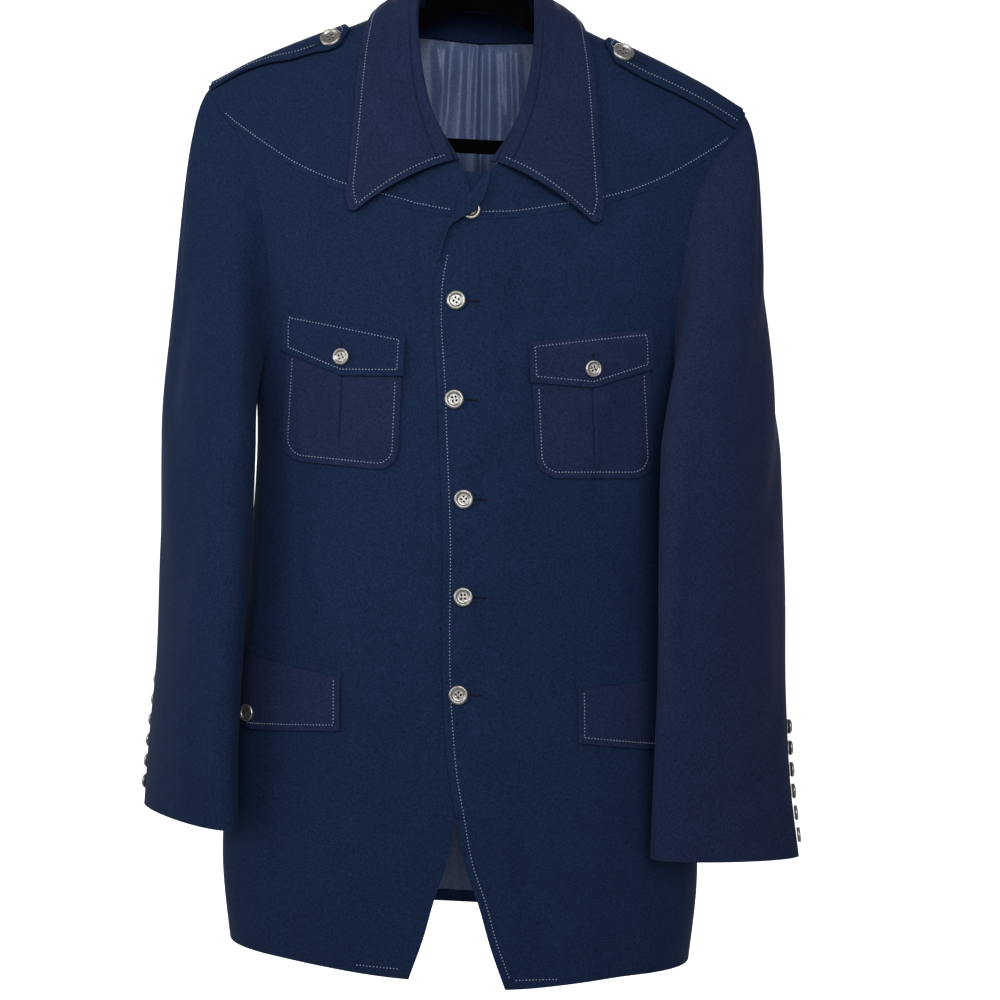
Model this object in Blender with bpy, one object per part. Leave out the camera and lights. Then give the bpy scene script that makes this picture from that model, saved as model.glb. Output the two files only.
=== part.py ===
"""A military-style jacket of navy twill on a slim clothes hanger.

Metres, +Z up, the wearer's left at +X and the front at -Y. The origin is the
inner top of the hanger's hook. The jacket is drawn level and symmetrical, and
then hangs a few degrees lower on the wearer's left side.
"""

import math

import bmesh
import bpy
import numpy as np

CLOTH = 0.0016            # wall of the shell cloth with its facing
LINING = 0.0010           # wall of the lining
SEAM = 0.0003             # gap between two sewn pieces
SEAM_HALF = 0.0002        # what each of them is drawn back, with a little spare
TILT = 0.050              # drop of the hanger per metre towards +X
NECK_R = 0.072            # half width of the neck at the shoulder seam
TIP_R = 0.241             # half width at the shoulder tip
CENTRE_TOP = 0.005        # where the garment's middle is at the shoulders
CENTRE_HEM = -0.011       # and at the hem
FRONT_X = -0.0115         # the centre front line, where the buttons are
NECK_FRONT_Z = -0.256     # the front neck edge at the centre front
UNDERARM_Z = -0.435
HEM_Z = -0.941
BACK_HEM_Z = -0.925
CORNER_DROP = 0.008       # how far the wearer's left front corner hangs below the hem
OVERLAP_LIFT = 0.0030     # how far the buttonhole front lies over the other
OVERLAP_X = 0.015         # where that lift begins to fade, towards +X
OVERLAP_END = 0.075       # and where it is gone
NECK_BACK_RISE = 0.005    # the back neck edge over the shoulder's neck point

# Torso: height, half width, depth in front of the hanger, depth behind it
TORSO_ROWS = np.array((
    (-0.020, 0.268, 0.070, 0.056),
    (-0.200, 0.262, 0.074, 0.060),
    (-0.300, 0.232, 0.082, 0.066),
    (-0.435, 0.196, 0.087, 0.072),
    (-0.600, 0.195, 0.086, 0.070),
    (-0.780, 0.2095, 0.090, 0.076),
    (-0.870, 0.2135, 0.093, 0.081),
    (-0.960, 0.2040, 0.096, 0.086),
))

# Front edge: height, how far the edge lies past the centre front, on the
# wearer's right and on the wearer's left, whose top corner is rolled open
FRONT_EDGE_ROWS = np.array((
    (-0.254, 0.0200, -0.0258),
    (-0.268, 0.0200, -0.0181),
    (-0.286, 0.0190, -0.0027),
    (-0.301, 0.0180, 0.0084),
    (-0.324, 0.0170, 0.0132),
    (-0.340, 0.0160, 0.0153),
    (-0.457, 0.0153, 0.0153),
    (-0.565, 0.0115, 0.0115),
    (-0.701, 0.0111, 0.0111),
    (-0.743, 0.0085, 0.0085),
    (-0.777, 0.0050, 0.0050),
    (-0.802, 0.0005, 0.0005),
    (-0.848, -0.0083, -0.0083),
    (-0.877, -0.0184, -0.0184),
    (-0.910, -0.0277, -0.0277),
    (-0.943, -0.0395, -0.0395),
    (-0.960, -0.0450, -0.0450),
))

# Armhole: height, distance from the middle, on the front and on the back
ARMHOLE_ROWS = np.array((
    (-0.182, 0.2410, 0.2410),
    (-0.205, 0.2280, 0.2270),
    (-0.225, 0.2120, 0.2150),
    (-0.250, 0.1990, 0.2040),
    (-0.280, 0.1900, 0.1960),
    (-0.315, 0.1840, 0.1900),
    (-0.350, 0.1790, 0.1860),
    (-0.380, 0.1770, 0.1840),
    (-0.405, 0.1780, 0.1840),
))

# Front yoke seam: distance from the middle, height
YOKE_ROWS = np.array((
    (0.000, -0.3010),
    (0.030, -0.2980),
    (0.070, -0.2890),
    (0.110, -0.2790),
    (0.130, -0.2720),
    (0.160, -0.2580),
    (0.190, -0.2385),
    (0.215, -0.2205),
))

# Front neck edge: height, distance from the middle
NECK_ROWS = np.array((
    (-0.094, 0.0720),
    (-0.120, 0.0700),
    (-0.150, 0.0660),
    (-0.185, 0.0570),
    (-0.215, 0.0430),
    (-0.240, 0.0270),
    (-0.256, 0.0140),
))


def table(rows, key, column):
    """Read a table between its rows on a smooth curve (monotone keys)."""
    keys = rows[:, 0]
    values = rows[:, column]
    if keys[0] > keys[-1]:
        keys = keys[::-1]
        values = values[::-1]
    slopes = np.gradient(values, keys)
    spot = np.clip(np.asarray(key, float), keys[0], keys[-1])
    low = np.clip(np.searchsorted(keys, spot) - 1, 0, len(keys) - 2)
    width = keys[low + 1] - keys[low]
    t = (spot - keys[low]) / width
    return ((2 * t ** 3 - 3 * t ** 2 + 1) * values[low]
            + (t ** 3 - 2 * t ** 2 + t) * width * slopes[low]
            + (3 * t ** 2 - 2 * t ** 3) * values[low + 1]
            + (t ** 3 - t ** 2) * width * slopes[low + 1])


def smooth(value, start, end):
    """Rise from 0 at start to 1 at end with level ends."""
    t = np.clip((np.asarray(value, float) - start) / (end - start), 0.0, 1.0)
    return t * t * (3 - 2 * t)


def centre_x(z):
    """The garment's middle: it leans a little with the tilted hanger."""
    return CENTRE_TOP + (CENTRE_HEM - CENTRE_TOP) * smooth(-np.asarray(z), 0.15, 0.95)


def shoulder_z(r):
    """Height of the shoulder line at a distance from the middle."""
    outer = r - 0.070
    neck_rise = 1.3 * 0.012 * np.logaddexp(0.0, -outer / 0.012)
    return -0.104 - 0.33 * outer - 0.60 * outer ** 2 + neck_rise


def depth_share(drop):
    """How full the body is at a drop below the shoulder line."""
    drop = np.maximum(drop, 0.0)
    return 1.1 * np.sqrt(drop / (drop + 0.12))


def shell(angle, z, lift=0.0):
    """Point on the body: the angle is 0 at the front and grows towards +X."""
    angle = np.asarray(angle, float)
    z = np.asarray(z, float)
    across = table(TORSO_ROWS, z, 1) * np.sin(angle)
    share = depth_share(shoulder_z(np.abs(across)) - z)
    facing = np.cos(angle)
    depth = np.where(facing > 0, table(TORSO_ROWS, z, 2), table(TORSO_ROWS, z, 3))
    y = -facing * depth * share - lift
    return np.stack([centre_x(z) + across, y, z + 0 * across], axis=-1)


def shell_normal(domain):
    """Outward normal of the hung body at places given as (angle, height)."""
    angle, z = domain[..., 0], domain[..., 1]
    tiny = 1e-6
    along = hang(shell(angle + tiny, z)) - hang(shell(angle - tiny, z))
    up = hang(shell(angle, z + tiny)) - hang(shell(angle, z - tiny))
    normal = np.cross(along, up)
    return normal / np.linalg.norm(normal, axis=-1, keepdims=True)


def angle_at(across, z, back=False):
    """Angle on the body of a place at a signed distance from the middle."""
    angle = np.arcsin(np.clip(across / table(TORSO_ROWS, z, 1), -1.0, 1.0))
    return np.pi - angle if back else angle


def hang(points):
    """Let level points drop towards +X, as the tilted hanger holds them."""
    tilted = np.array(points, float)
    tilted[..., 2] -= TILT * tilted[..., 0]
    return tilted


def coons(top, bottom, inner, outer, down):
    """Fill a four-sided patch of (angle, height) from its sides."""
    u = np.linspace(0, 1, len(top))[None, :, None]
    v = np.asarray(down)[:, None, None]
    corners = ((1 - v) * ((1 - u) * top[0] + u * top[-1])
               + v * ((1 - u) * bottom[0] + u * bottom[-1]))
    return ((1 - v) * top[None] + v * bottom[None]
            + (1 - u) * inner[:, None] + u * outer[:, None] - corners)


def normals_of(grid, outward):
    """Unit normals of a grid of points, turned to the side of outward."""
    rows = np.gradient(grid, axis=0)
    columns = np.gradient(grid, axis=1)
    normal = np.cross(rows, columns)
    normal /= np.maximum(np.linalg.norm(normal, axis=-1, keepdims=True), 1e-12)
    flip = np.sum(normal * outward, axis=-1).sum() < 0
    return -normal if flip else normal


def add_object(name, vertices, faces, material, smooth_angle=40.0):
    """Make one closed object with its faces pointing out."""
    mesh = bpy.data.meshes.new(name)
    mesh.from_pydata([tuple(v) for v in vertices], [], [tuple(f) for f in faces])
    bm = bmesh.new()
    bm.from_mesh(mesh)
    bmesh.ops.remove_doubles(bm, verts=bm.verts, dist=1e-7)
    bmesh.ops.recalc_face_normals(bm, faces=bm.faces)
    if bm.calc_volume(signed=True) < 0:
        bmesh.ops.reverse_faces(bm, faces=bm.faces)
    bm.to_mesh(mesh)
    bm.free()
    mesh.shade_smooth()
    mesh.set_sharp_from_angle(angle=math.radians(smooth_angle))
    mesh.materials.append(material)
    obj = bpy.data.objects.new(name, mesh)
    bpy.context.scene.collection.objects.link(obj)
    return obj


def wall(name, outer, inner, material):
    """Close a sheet between its outer and inner grids, split the same way."""
    rows, columns = outer.shape[:2]
    count = rows * columns
    index = np.arange(count).reshape(rows, columns)
    faces = []
    for i in range(rows - 1):
        for j in range(columns - 1):
            a, b, c, d = index[i, j], index[i, j + 1], index[i + 1, j + 1], index[i + 1, j]
            first = np.linalg.norm(outer[i, j] - outer[i + 1, j + 1])
            second = np.linalg.norm(outer[i, j + 1] - outer[i + 1, j])
            halves = ((a, b, c), (a, c, d)) if first < second else ((a, b, d), (b, c, d))
            for half in halves:
                faces.append(half)
                faces.append(tuple(q + count for q in reversed(half)))
    rim = (list(index[0, :]) + list(index[1:, -1])
           + list(index[-1, -2::-1]) + list(index[-2:0:-1, 0]))
    for a, b in zip(rim, rim[1:] + rim[:1]):
        faces.append([b, a, a + count, b + count])
    vertices = np.concatenate([outer.reshape(-1, 3), inner.reshape(-1, 3)])
    return add_object(name, vertices, faces, material)


def inset_edges(grid, sides, gap):
    """Draw the named sides of a patch back by a gap, along the cloth."""
    moved = grid.copy()
    steps = {
        "top": (grid[1] - grid[0], (0, slice(None))),
        "bottom": (grid[-2] - grid[-1], (-1, slice(None))),
        "inner": (grid[:, 1] - grid[:, 0], (slice(None), 0)),
        "outer": (grid[:, -2] - grid[:, -1], (slice(None), -1)),
    }
    for side in sides:
        step, place = steps[side]
        length = np.linalg.norm(step, axis=-1, keepdims=True)
        moved[place] += step / np.maximum(length, 1e-9) * gap
    return moved


def side_sign(side):
    """The wearer's left is at +X and the right at -X."""
    return 1.0 if side == "left" else -1.0


def polyline(points, spread):
    """Points at shares of the length of a short outline."""
    points = np.array(points, float)
    length = np.concatenate([[0], np.cumsum(np.linalg.norm(np.diff(points, axis=0), axis=1))])
    spots = spread * length[-1]
    return np.stack([np.interp(spots, length, points[:, k]) for k in range(2)], axis=-1)


ARM_STEPS = 10
SIDE_STEPS = 9
FRONT_COLUMNS = 11
YOKE_STEPS = 6
YOKE_CROWD = 1.8          # rows lie closer together near the shoulder
BACK_CROWD = 1.5


def armhole_line(sign, back, start_z, steps):
    """The armhole from a height down to the underarm, as (angle, height)."""
    column = 2 if back else 1
    z = np.linspace(start_z, ARMHOLE_ROWS[-1, 0], steps - 1)
    r = table(ARMHOLE_ROWS, z, column)
    line = [(angle_at(sign * a, b, back), b) for a, b in zip(r, z)]
    if back:
        line = [(angle_side(a, sign), b) for a, b in line]
    last = np.array(line[-1])
    under = np.array((sign * math.pi / 2, UNDERARM_Z))
    line.append((last[0] + 0.55 * (under[0] - last[0]), last[1] + 0.80 * (under[1] - last[1])))
    line.append(tuple(under))
    return np.array(line)


def side_line(sign, hem_z):
    """The side seam from the underarm to the hem."""
    z = np.linspace(UNDERARM_Z, hem_z, SIDE_STEPS + 1)
    return np.stack([np.full(len(z), sign * math.pi / 2), z], axis=-1)


def front_edge_line(sign, z):
    """The front edge at some heights, as (angle, height)."""
    past = table(FRONT_EDGE_ROWS, z, 1 if sign < 0 else 2)
    x = FRONT_X - sign * past
    return np.stack([angle_at(x - centre_x(z), z), z], axis=-1)


def fronts():
    """Domains of the two front panels and the two front yokes."""
    domains = {}
    for side in ("right", "left"):
        sign = side_sign(side)
        r = np.linspace(0, 1, FRONT_COLUMNS + 1)
        seam_end = YOKE_ROWS[-1, 0]
        edge = front_edge_line(sign, np.array([-0.300]))[0]
        start = np.sin(edge[0]) * table(TORSO_ROWS, edge[1], 1) * sign
        across = start + (seam_end - start) * r
        seam_z = table(YOKE_ROWS, np.abs(across), 1)
        seam = np.stack([angle_at(sign * across, seam_z), seam_z], axis=-1)
        outer = np.concatenate([
            armhole_line(sign, False, YOKE_ROWS[-1, 1], ARM_STEPS),
            side_line(sign, HEM_Z)[1:],
        ])
        outer[0] = seam[-1]
        rows = len(outer)
        corner = CORNER_DROP if side == "left" else 0.5 * CORNER_DROP
        inner_z = seam_z[0] + (HEM_Z - corner - seam_z[0]) * np.linspace(0, 1, rows)
        inner = front_edge_line(sign, inner_z)
        inner[0] = seam[0]
        hem_angle = inner[-1, 0] + (outer[-1, 0] - inner[-1, 0]) * r
        hem_z = HEM_Z - corner * (1 - smooth(r, 0.0, 0.45))
        hem = np.stack([hem_angle, hem_z], axis=-1)
        even = np.linspace(0, 1, rows)
        domains["front_" + side] = coons(seam, hem, inner, outer, even)
        domains["yoke_front_" + side] = yoke_domain(sign, seam)
    return domains


def yoke_domain(sign, seam):
    """A front yoke, from the shoulder seam down to the yoke seam."""
    columns = len(seam)
    r = NECK_R + (TIP_R - NECK_R) * np.linspace(0, 1, columns)
    z = shoulder_z(r)
    shoulder = np.stack([angle_at(sign * r, z), z], axis=-1)
    down = np.linspace(0, 1, YOKE_STEPS + 1) ** YOKE_CROWD
    arm_z = z[-1] + (YOKE_ROWS[-1, 1] - z[-1]) * down
    arm_r = np.interp(-arm_z, -ARMHOLE_ROWS[:, 0], ARMHOLE_ROWS[:, 1])
    arm = np.stack([angle_at(sign * arm_r, arm_z), arm_z], axis=-1)
    arm[0] = shoulder[-1]
    arm[-1] = seam[-1]
    neck = [(float(r), float(z)) for z, r in NECK_ROWS]
    neck[0] = (NECK_R, float(shoulder[0, 1]))
    edge_z = np.linspace(NECK_FRONT_Z, seam[0, 1], 4)
    edge = front_edge_line(sign, edge_z)
    edge_r = sign * np.sin(edge[:, 0]) * table(TORSO_ROWS, edge_z, 1)
    neck[-1] = (0.5 * (0.018 + float(edge_r[0])), NECK_FRONT_Z + 0.001)
    neck += [(float(r), float(z)) for r, z in zip(edge_r, edge_z)]
    line = polyline(neck, down)
    inner = np.stack([angle_at(sign * line[:, 0], line[:, 1]), line[:, 1]], axis=-1)
    return coons(shoulder, seam, inner, arm, down)


def backs():
    """Domains of the two back panels, seamed at the centre back."""
    domains = {}
    for side in ("right", "left"):
        sign = side_sign(side)
        r = NECK_R + (TIP_R - NECK_R) * np.linspace(0, 1, FRONT_COLUMNS + 1)
        z = shoulder_z(r)
        shoulder = np.stack([angle_at(sign * r, z, True), z], axis=-1)
        neck_share = np.linspace(0, 1, 4)[:-1]
        neck_r = NECK_R * np.sin(neck_share * math.pi / 2)
        neck_z = shoulder_z(NECK_R) + NECK_BACK_RISE * np.cos(neck_share * math.pi / 2)
        neck = np.stack([angle_at(sign * neck_r, neck_z, True), neck_z], axis=-1)
        top = np.concatenate([neck, shoulder])
        arm_top = table(ARMHOLE_ROWS, YOKE_ROWS[-1, 1], 2)
        upper_share = np.linspace(0, 1, YOKE_STEPS + 1)[:-1] ** YOKE_CROWD
        upper_z = z[-1] + (YOKE_ROWS[-1, 1] - z[-1]) * upper_share
        upper_r = np.interp(-upper_z, -ARMHOLE_ROWS[:, 0], ARMHOLE_ROWS[:, 2])
        upper = np.stack([angle_at(sign * upper_r, upper_z, True), upper_z], axis=-1)
        upper[0] = shoulder[-1]
        outer = np.concatenate([
            upper,
            armhole_line(sign, True, YOKE_ROWS[-1, 1], ARM_STEPS),
            side_line(sign, HEM_Z)[1:],
        ])
        outer[len(upper), 0] = angle_at(sign * arm_top, YOKE_ROWS[-1, 1], True)
        rows = len(outer)
        down = np.linspace(0, 1, rows) ** BACK_CROWD
        inner_z = neck_z[0] + (BACK_HEM_Z - neck_z[0]) * down
        inner = np.stack([np.full(rows, sign * math.pi), inner_z], axis=-1)
        top[:, 0] = angle_side(top[:, 0], sign)
        outer[:, 0] = angle_side(outer[:, 0], sign)
        u = np.linspace(0, 1, len(top))
        hem_angle = inner[-1, 0] + (outer[-1, 0] - inner[-1, 0]) * u
        hem_z = BACK_HEM_Z + (HEM_Z - BACK_HEM_Z) * smooth(u, 0.55, 1.0)
        hem = np.stack([hem_angle, hem_z], axis=-1)
        domains["back_" + side] = coons(top, hem, inner, outer, down)
    return domains


def angle_side(angle, sign):
    """Keep angles on one side of the body, so a panel doesn't wrap round."""
    turned = np.mod(angle, 2 * math.pi)
    return turned if sign > 0 else turned - 2 * math.pi


def body_patches():
    """The six body panels with their outer points and normals."""
    patches = {}
    for name, domain in {**fronts(), **backs()}.items():
        lift = 0.0
        if name.endswith("left") and not name.startswith("back"):
            across = np.sin(domain[..., 0]) * table(TORSO_ROWS, domain[..., 1], 1)
            x = across + centre_x(domain[..., 1])
            lift = front_lift(x)
        grid = hang(shell(domain[..., 0], domain[..., 1], lift))
        patches[name] = {"grid": grid, "normal": shell_normal(domain), "domain": domain}
    return patches


def make_body(patches, material):
    """Build the six body panels as walls."""
    for name, patch in patches.items():
        sides = ["top", "outer", "inner"]
        if name.startswith("yoke"):
            sides.append("bottom")
        outer = inset_edges(patch["grid"], sides, SEAM_HALF)
        wall(name, outer, outer - CLOTH * patch["normal"], material)


# Sleeve sections: height, centre x, centre y, half width, half thickness, turn
SLEEVE_ROWS = {
    "right": np.array((
        (-0.400, -0.2340, -0.008, 0.074, 0.036, 60.0),
        (-0.500, -0.2385, -0.014, 0.076, 0.033, 58.0),
        (-0.600, -0.2410, -0.018, 0.075, 0.031, 57.0),
        (-0.700, -0.2415, -0.024, 0.074, 0.027, 56.0),
        (-0.780, -0.2465, -0.029, 0.073, 0.024, 52.0),
        (-0.830, -0.2480, -0.031, 0.073, 0.022, 49.0),
    )),
    "left": np.array((
        (-0.400, 0.2190, -0.041, 0.072, 0.036, 50.0),
        (-0.500, 0.2200, -0.046, 0.075, 0.031, 44.0),
        (-0.600, 0.2200, -0.048, 0.076, 0.028, 40.0),
        (-0.700, 0.2190, -0.050, 0.075, 0.026, 37.0),
        (-0.780, 0.2190, -0.054, 0.071, 0.023, 27.0),
        (-0.838, 0.2205, -0.056, 0.0705, 0.020, 18.0),
    )),
}
CAP_STEPS = 8
TUBE_STEPS = 6
TUBE_TOP = -0.500
FRONT_SEAM = 4            # column of the front seam of the sleeve
HIND_SEAM = 9             # columns from the shoulder to the hind arm seam


def armhole_loop(side):
    """The armhole from the underarm up the front and down the back."""
    sign = side_sign(side)
    steps = ARM_STEPS + YOKE_STEPS
    patches = fronts()
    front = patches["front_" + side][:ARM_STEPS + 1, -1][::-1]
    yoke = patches["yoke_front_" + side][:, -1][::-1]
    back = backs()["back_" + side][:steps + 1, -1]
    loop = np.concatenate([front, yoke[1:], back[1:]])
    level = shell(loop[:, 0], loop[:, 1])
    return level, shell_normal(loop), sign


def sleeve_grid(side):
    """Outer points and normals of a sleeve, from the armhole to the cuff."""
    armhole, body_normal, sign = armhole_loop(side)
    rows = SLEEVE_ROWS[side]
    columns = len(armhole)
    half = columns // 2
    length = np.concatenate([[0], np.cumsum(np.linalg.norm(np.diff(armhole, axis=0), axis=1))])
    place = np.arange(columns)
    front_share = 0.5 * length[:half + 1] / length[half] + 0.5 * place[:half + 1] / half
    back_share = (0.5 * (length[half:] - length[half]) / (length[-1] - length[half])
                  + 0.5 * (place[half:] - half) / half)
    turn_angle = np.concatenate([-90 + 180 * front_share, 90 + 180 * back_share[1:]])
    psi = np.radians(turn_angle)

    def ring(z):
        turn = math.radians(float(table(rows, z, 5)))
        wide = np.array((-sign * math.cos(turn), -math.sin(turn)))
        out = np.array((sign * math.sin(turn), -math.cos(turn)))
        centre = np.array((float(table(rows, z, 1)), float(table(rows, z, 2))))
        flat = (centre + float(table(rows, z, 3)) * np.cos(psi)[:, None] * wide
                + float(table(rows, z, 4)) * np.sin(psi)[:, None] * out)
        return np.concatenate([flat, np.full((columns, 1), z)], axis=1)

    first = ring(TUBE_TOP)
    height = smooth(armhole[:, 2], UNDERARM_Z, armhole[half, 2])
    outward = 0.30 + 0.60 * smooth(height, 0.0, 0.25) - 0.08 * height
    down = 0.95 - 0.50 * smooth(height, 0.0, 0.25) + 0.14 * height
    forward = -0.35 * np.cos(psi) * smooth(height, 0.02, 0.3) * (1 - height)
    leave = np.stack([sign * outward, forward, -down], axis=-1)
    leave /= np.linalg.norm(leave, axis=-1, keepdims=True)
    reach = (0.030 + 0.025 * smooth(height, 0.0, 0.4) + 0.050 * height ** 2)[:, None]
    arrive = np.zeros_like(first)
    arrive[:, 2] = -0.8 * (armhole[:, 2] - first[:, 2])
    start = armhole + (leave + body_normal) * 0.00035
    t = (np.linspace(0, 1, CAP_STEPS + 1) ** 1.25)[:, None, None]
    cap = ((2 * t ** 3 - 3 * t ** 2 + 1) * start + (t ** 3 - 2 * t ** 2 + t) * (leave * reach)
           + (3 * t ** 2 - 2 * t ** 3) * first + (t ** 3 - t ** 2) * arrive)
    tube_z = np.linspace(TUBE_TOP, rows[-1, 0], TUBE_STEPS + 1)[1:]
    grid = np.concatenate([cap, np.array([ring(z) for z in tube_z])])
    grid = hang(grid)
    closed = np.concatenate([grid[:, -2:-1], grid, grid[:, 1:2]], axis=1)
    axis = closed.mean(axis=1, keepdims=True)
    normal = normals_of(closed, closed - axis)[:, 1:-1]
    normal[:, -1] = normal[:, 0]
    lean = np.maximum(np.sum(normal[0] * body_normal, axis=-1, keepdims=True), 0.0)
    mixed = normal[0] + 4.0 * lean * body_normal
    normal[0] = mixed / np.linalg.norm(mixed, axis=-1, keepdims=True)
    return grid, normal


def make_sleeves(material):
    """Two-piece sleeves: a top sleeve and an under sleeve on each side."""
    for side in ("right", "left"):
        grid, normal = sleeve_grid(side)
        half = ARM_STEPS + YOKE_STEPS
        hind = half + HIND_SEAM
        top = slice(FRONT_SEAM, hind + 1)
        pieces = {
            "top_sleeve_": (grid[:, top], normal[:, top]),
            "under_sleeve_": (
                np.concatenate([grid[:, hind:], grid[:, 1:FRONT_SEAM + 1]], axis=1),
                np.concatenate([normal[:, hind:], normal[:, 1:FRONT_SEAM + 1]], axis=1),
            ),
        }
        for name, (points, outward) in pieces.items():
            outer = inset_edges(points, ["inner", "outer"], SEAM_HALF)
            wall(name + side, outer, outer - CLOTH * outward, material)


# Collar, from the centre back to the front end. Roll: distance from the
# middle, depth, height. Edge: distance and height. Foot: distance and height.
# Place: 1 on the back, 0 on the shoulder, -1 on the front
COLLAR_ROWS = np.array((
    (0.0000, 0.0380, -0.0480, 0.0000, -0.1120, 0.0000, -0.0885, 1),
    (0.0200, 0.0350, -0.0490, 0.0320, -0.1125, 0.0240, -0.0888, 1),
    (0.0370, 0.0260, -0.0560, 0.0600, -0.1125, 0.0430, -0.0900, 1),
    (0.0460, 0.0150, -0.0670, 0.0780, -0.1070, 0.0530, -0.0905, 1),
    (0.0500, 0.0040, -0.0800, 0.0905, -0.1015, 0.0650, -0.0975, 0),
    (0.0520, -0.0080, -0.0940, 0.0970, -0.1180, 0.0682, -0.1120, -1),
    (0.0525, -0.0200, -0.1120, 0.1010, -0.1420, 0.0668, -0.1280, -1),
    (0.0515, -0.0320, -0.1330, 0.1035, -0.1670, 0.0640, -0.1470, -1),
    (0.0490, -0.0450, -0.1580, 0.1055, -0.1960, 0.0585, -0.1690, -1),
    (0.0440, -0.0560, -0.1870, 0.1075, -0.2300, 0.0500, -0.1940, -1),
    (0.0360, -0.0645, -0.2100, 0.1095, -0.2600, 0.0365, -0.2150, -1),
    (0.0270, -0.0710, -0.2310, 0.1110, -0.2860, 0.0245, -0.2330, -1),
    (0.0185, -0.0745, -0.2500, 0.1060, -0.2990, 0.0140, -0.2495, -1),
))
COLLAR_ACROSS = 6
COLLAR_LIFT = 0.0030      # clearance of the collar over the body
LEFT_COLLAR_LIFT = 0.0022
COLLAR_RISE = 0.0055
COLLAR_ROUND = 0.0040
FOLD_GAP = 0.0005


def sheet_depth(across, z, back):
    """Depth of the body's outer face at a place in the front or back view."""
    angle = angle_at(across, z, back)
    return shell(angle, z)[..., 1]


def clear_of_body(line, lift):
    """Move points that are too near the body straight out of it."""
    r, y, z = line[:, 0], line[:, 1], line[:, 2]
    front_y = sheet_depth(r, z, False) - lift
    back_y = sheet_depth(r, z, True) + lift
    width = table(TORSO_ROWS, z, 1)
    facing = np.sqrt(1 - np.clip(r / width, 0, 0.99) ** 2)
    depth = np.where(y > 0, table(TORSO_ROWS, z, 3), table(TORSO_ROWS, z, 2))
    fullness = np.clip((y / (1.1 * depth * facing)) ** 2, 0.0, 0.95)
    least_z = shoulder_z(r) - 0.12 * fullness / (1 - fullness) + lift * 1.1
    pushed = np.where(y > 0, np.maximum(y, back_y), np.minimum(y, front_y))
    low = z < least_z
    near_top = np.abs(y) < 0.016
    line[:, 2] = np.where(low & near_top, least_z, z)
    line[:, 1] = np.where(low & ~near_top, pushed, y)
    return line


def collar_side(sign):
    """Half of the collar's fall, from the centre back to the front end."""
    t = np.linspace(0, 1, COLLAR_ACROSS + 1)
    grid = []
    lift = COLLAR_LIFT + CLOTH
    for r, y, z, edge_r, edge_z, _, _, place in COLLAR_ROWS:
        edge_y = 0.0
        if place != 0:
            edge_y = float(sheet_depth(edge_r, edge_z, place > 0)) + place * lift
        start = np.array((r, y, z))
        end = np.array((edge_r, edge_y, edge_z))
        line = start + (end - start) * t[:, None]
        rise = 4 * t * (1 - t)
        line[:, 2] += COLLAR_RISE * rise
        line[:, 1] += place * COLLAR_ROUND * rise
        grid.append(clear_of_body(line, lift))
    grid = np.array(grid)
    grid[..., 0] = centre_x(grid[..., 2]) + sign * grid[..., 0]
    return grid


def collar_grid():
    """The fall from the wearer's right end round the back to the left end."""
    right = collar_side(-1.0)
    left = collar_side(1.0)
    left[5:, :, 1] -= LEFT_COLLAR_LIFT * smooth(0.10 - left[5:, :, 0], 0.0, 0.06)
    return np.concatenate([right[::-1], left[1:]])


def stand_foot():
    """Foot of the stand, just inside the neck edge of the body."""
    feet = []
    for row in COLLAR_ROWS:
        r, z, place = row[5], row[6], row[7]
        y = 0.0 if place == 0 else float(sheet_depth(r, z, place > 0))
        feet.append((r, y, z))
    feet = np.array(feet)
    both = np.concatenate([(feet * np.array((-1.0, 1.0, 1.0)))[::-1], feet[1:]])
    both[:, 0] += centre_x(both[:, 2])
    return both


def make_collar(material):
    """The collar's fall and the stand inside it."""
    grid = hang(collar_grid())
    axis = np.array((CENTRE_TOP, -0.01, -0.25))
    normal = normals_of(grid, grid - axis)
    wall("collar_fall", grid, grid - CLOTH * normal, material)
    top = grid[:, 0] - normal[:, 0] * (CLOTH + FOLD_GAP)
    foot = hang(stand_foot())
    t = np.linspace(0, 1, 4)[None, :, None]
    stand = top[:, None] * (1 - t) + foot[:, None] * t
    stand_normal = normals_of(stand, stand - axis)
    wall("collar_stand", stand, stand - CLOTH * stand_normal, material)


def front_lift(x):
    """How far the wearer's left front stands out over the right one."""
    return OVERLAP_LIFT * (1 - smooth(x, OVERLAP_X, OVERLAP_END))


def front_place(x, z, side):
    """Point and normal on the outer face of a front, level x and height."""
    angle = angle_at(x - centre_x(z), z)
    lift = front_lift(x) if side == "left" else 0.0
    domain = np.stack([angle, z + 0 * angle], axis=-1)
    return hang(shell(angle, z, lift)), shell_normal(domain)


def lay(name, x, z, side, low, high, material):
    """A flat piece laid on a front, between two heights over its face."""
    point, normal = front_place(x, z, side)
    low = np.asarray(low + 0 * x)[..., None]
    high = np.asarray(high + 0 * x)[..., None]
    return wall(name, point + normal * high, point + normal * low, material)


CHEST_X = {"right": -0.1075, "left": 0.1024}
CHEST_TOP = -0.394
CHEST_WIDTH = 0.102
CHEST_DEPTH = 0.122
CHEST_SLOPE = 0.138       # rise of the pocket's top towards the sleeve
CHEST_LEAN = 0.04
CORNER = 0.014            # radius of the pocket's lower corners
POCKET_START = 0.012      # the patch begins this far down, under its flap
POCKET_LOW = 0.0004
FLAP_LOW = 0.0036
FLAP_ROOT = 0.0030        # how much nearer the front the flap's top edge lies
FLAP_DEPTH = 0.045        # at its point
FLAP_POINT = 0.011        # how much shorter its sides are
FLAP_BUTTON = 0.029       # the button's distance down from the flap's top


def slanted(side, u, down):
    """Place on a chest pocket, across from its middle and down from its top."""
    sign = side_sign(side)
    x = CHEST_X[side] + sign * (u + CHEST_LEAN * down)
    return x, CHEST_TOP + CHEST_SLOPE * u - down


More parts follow.
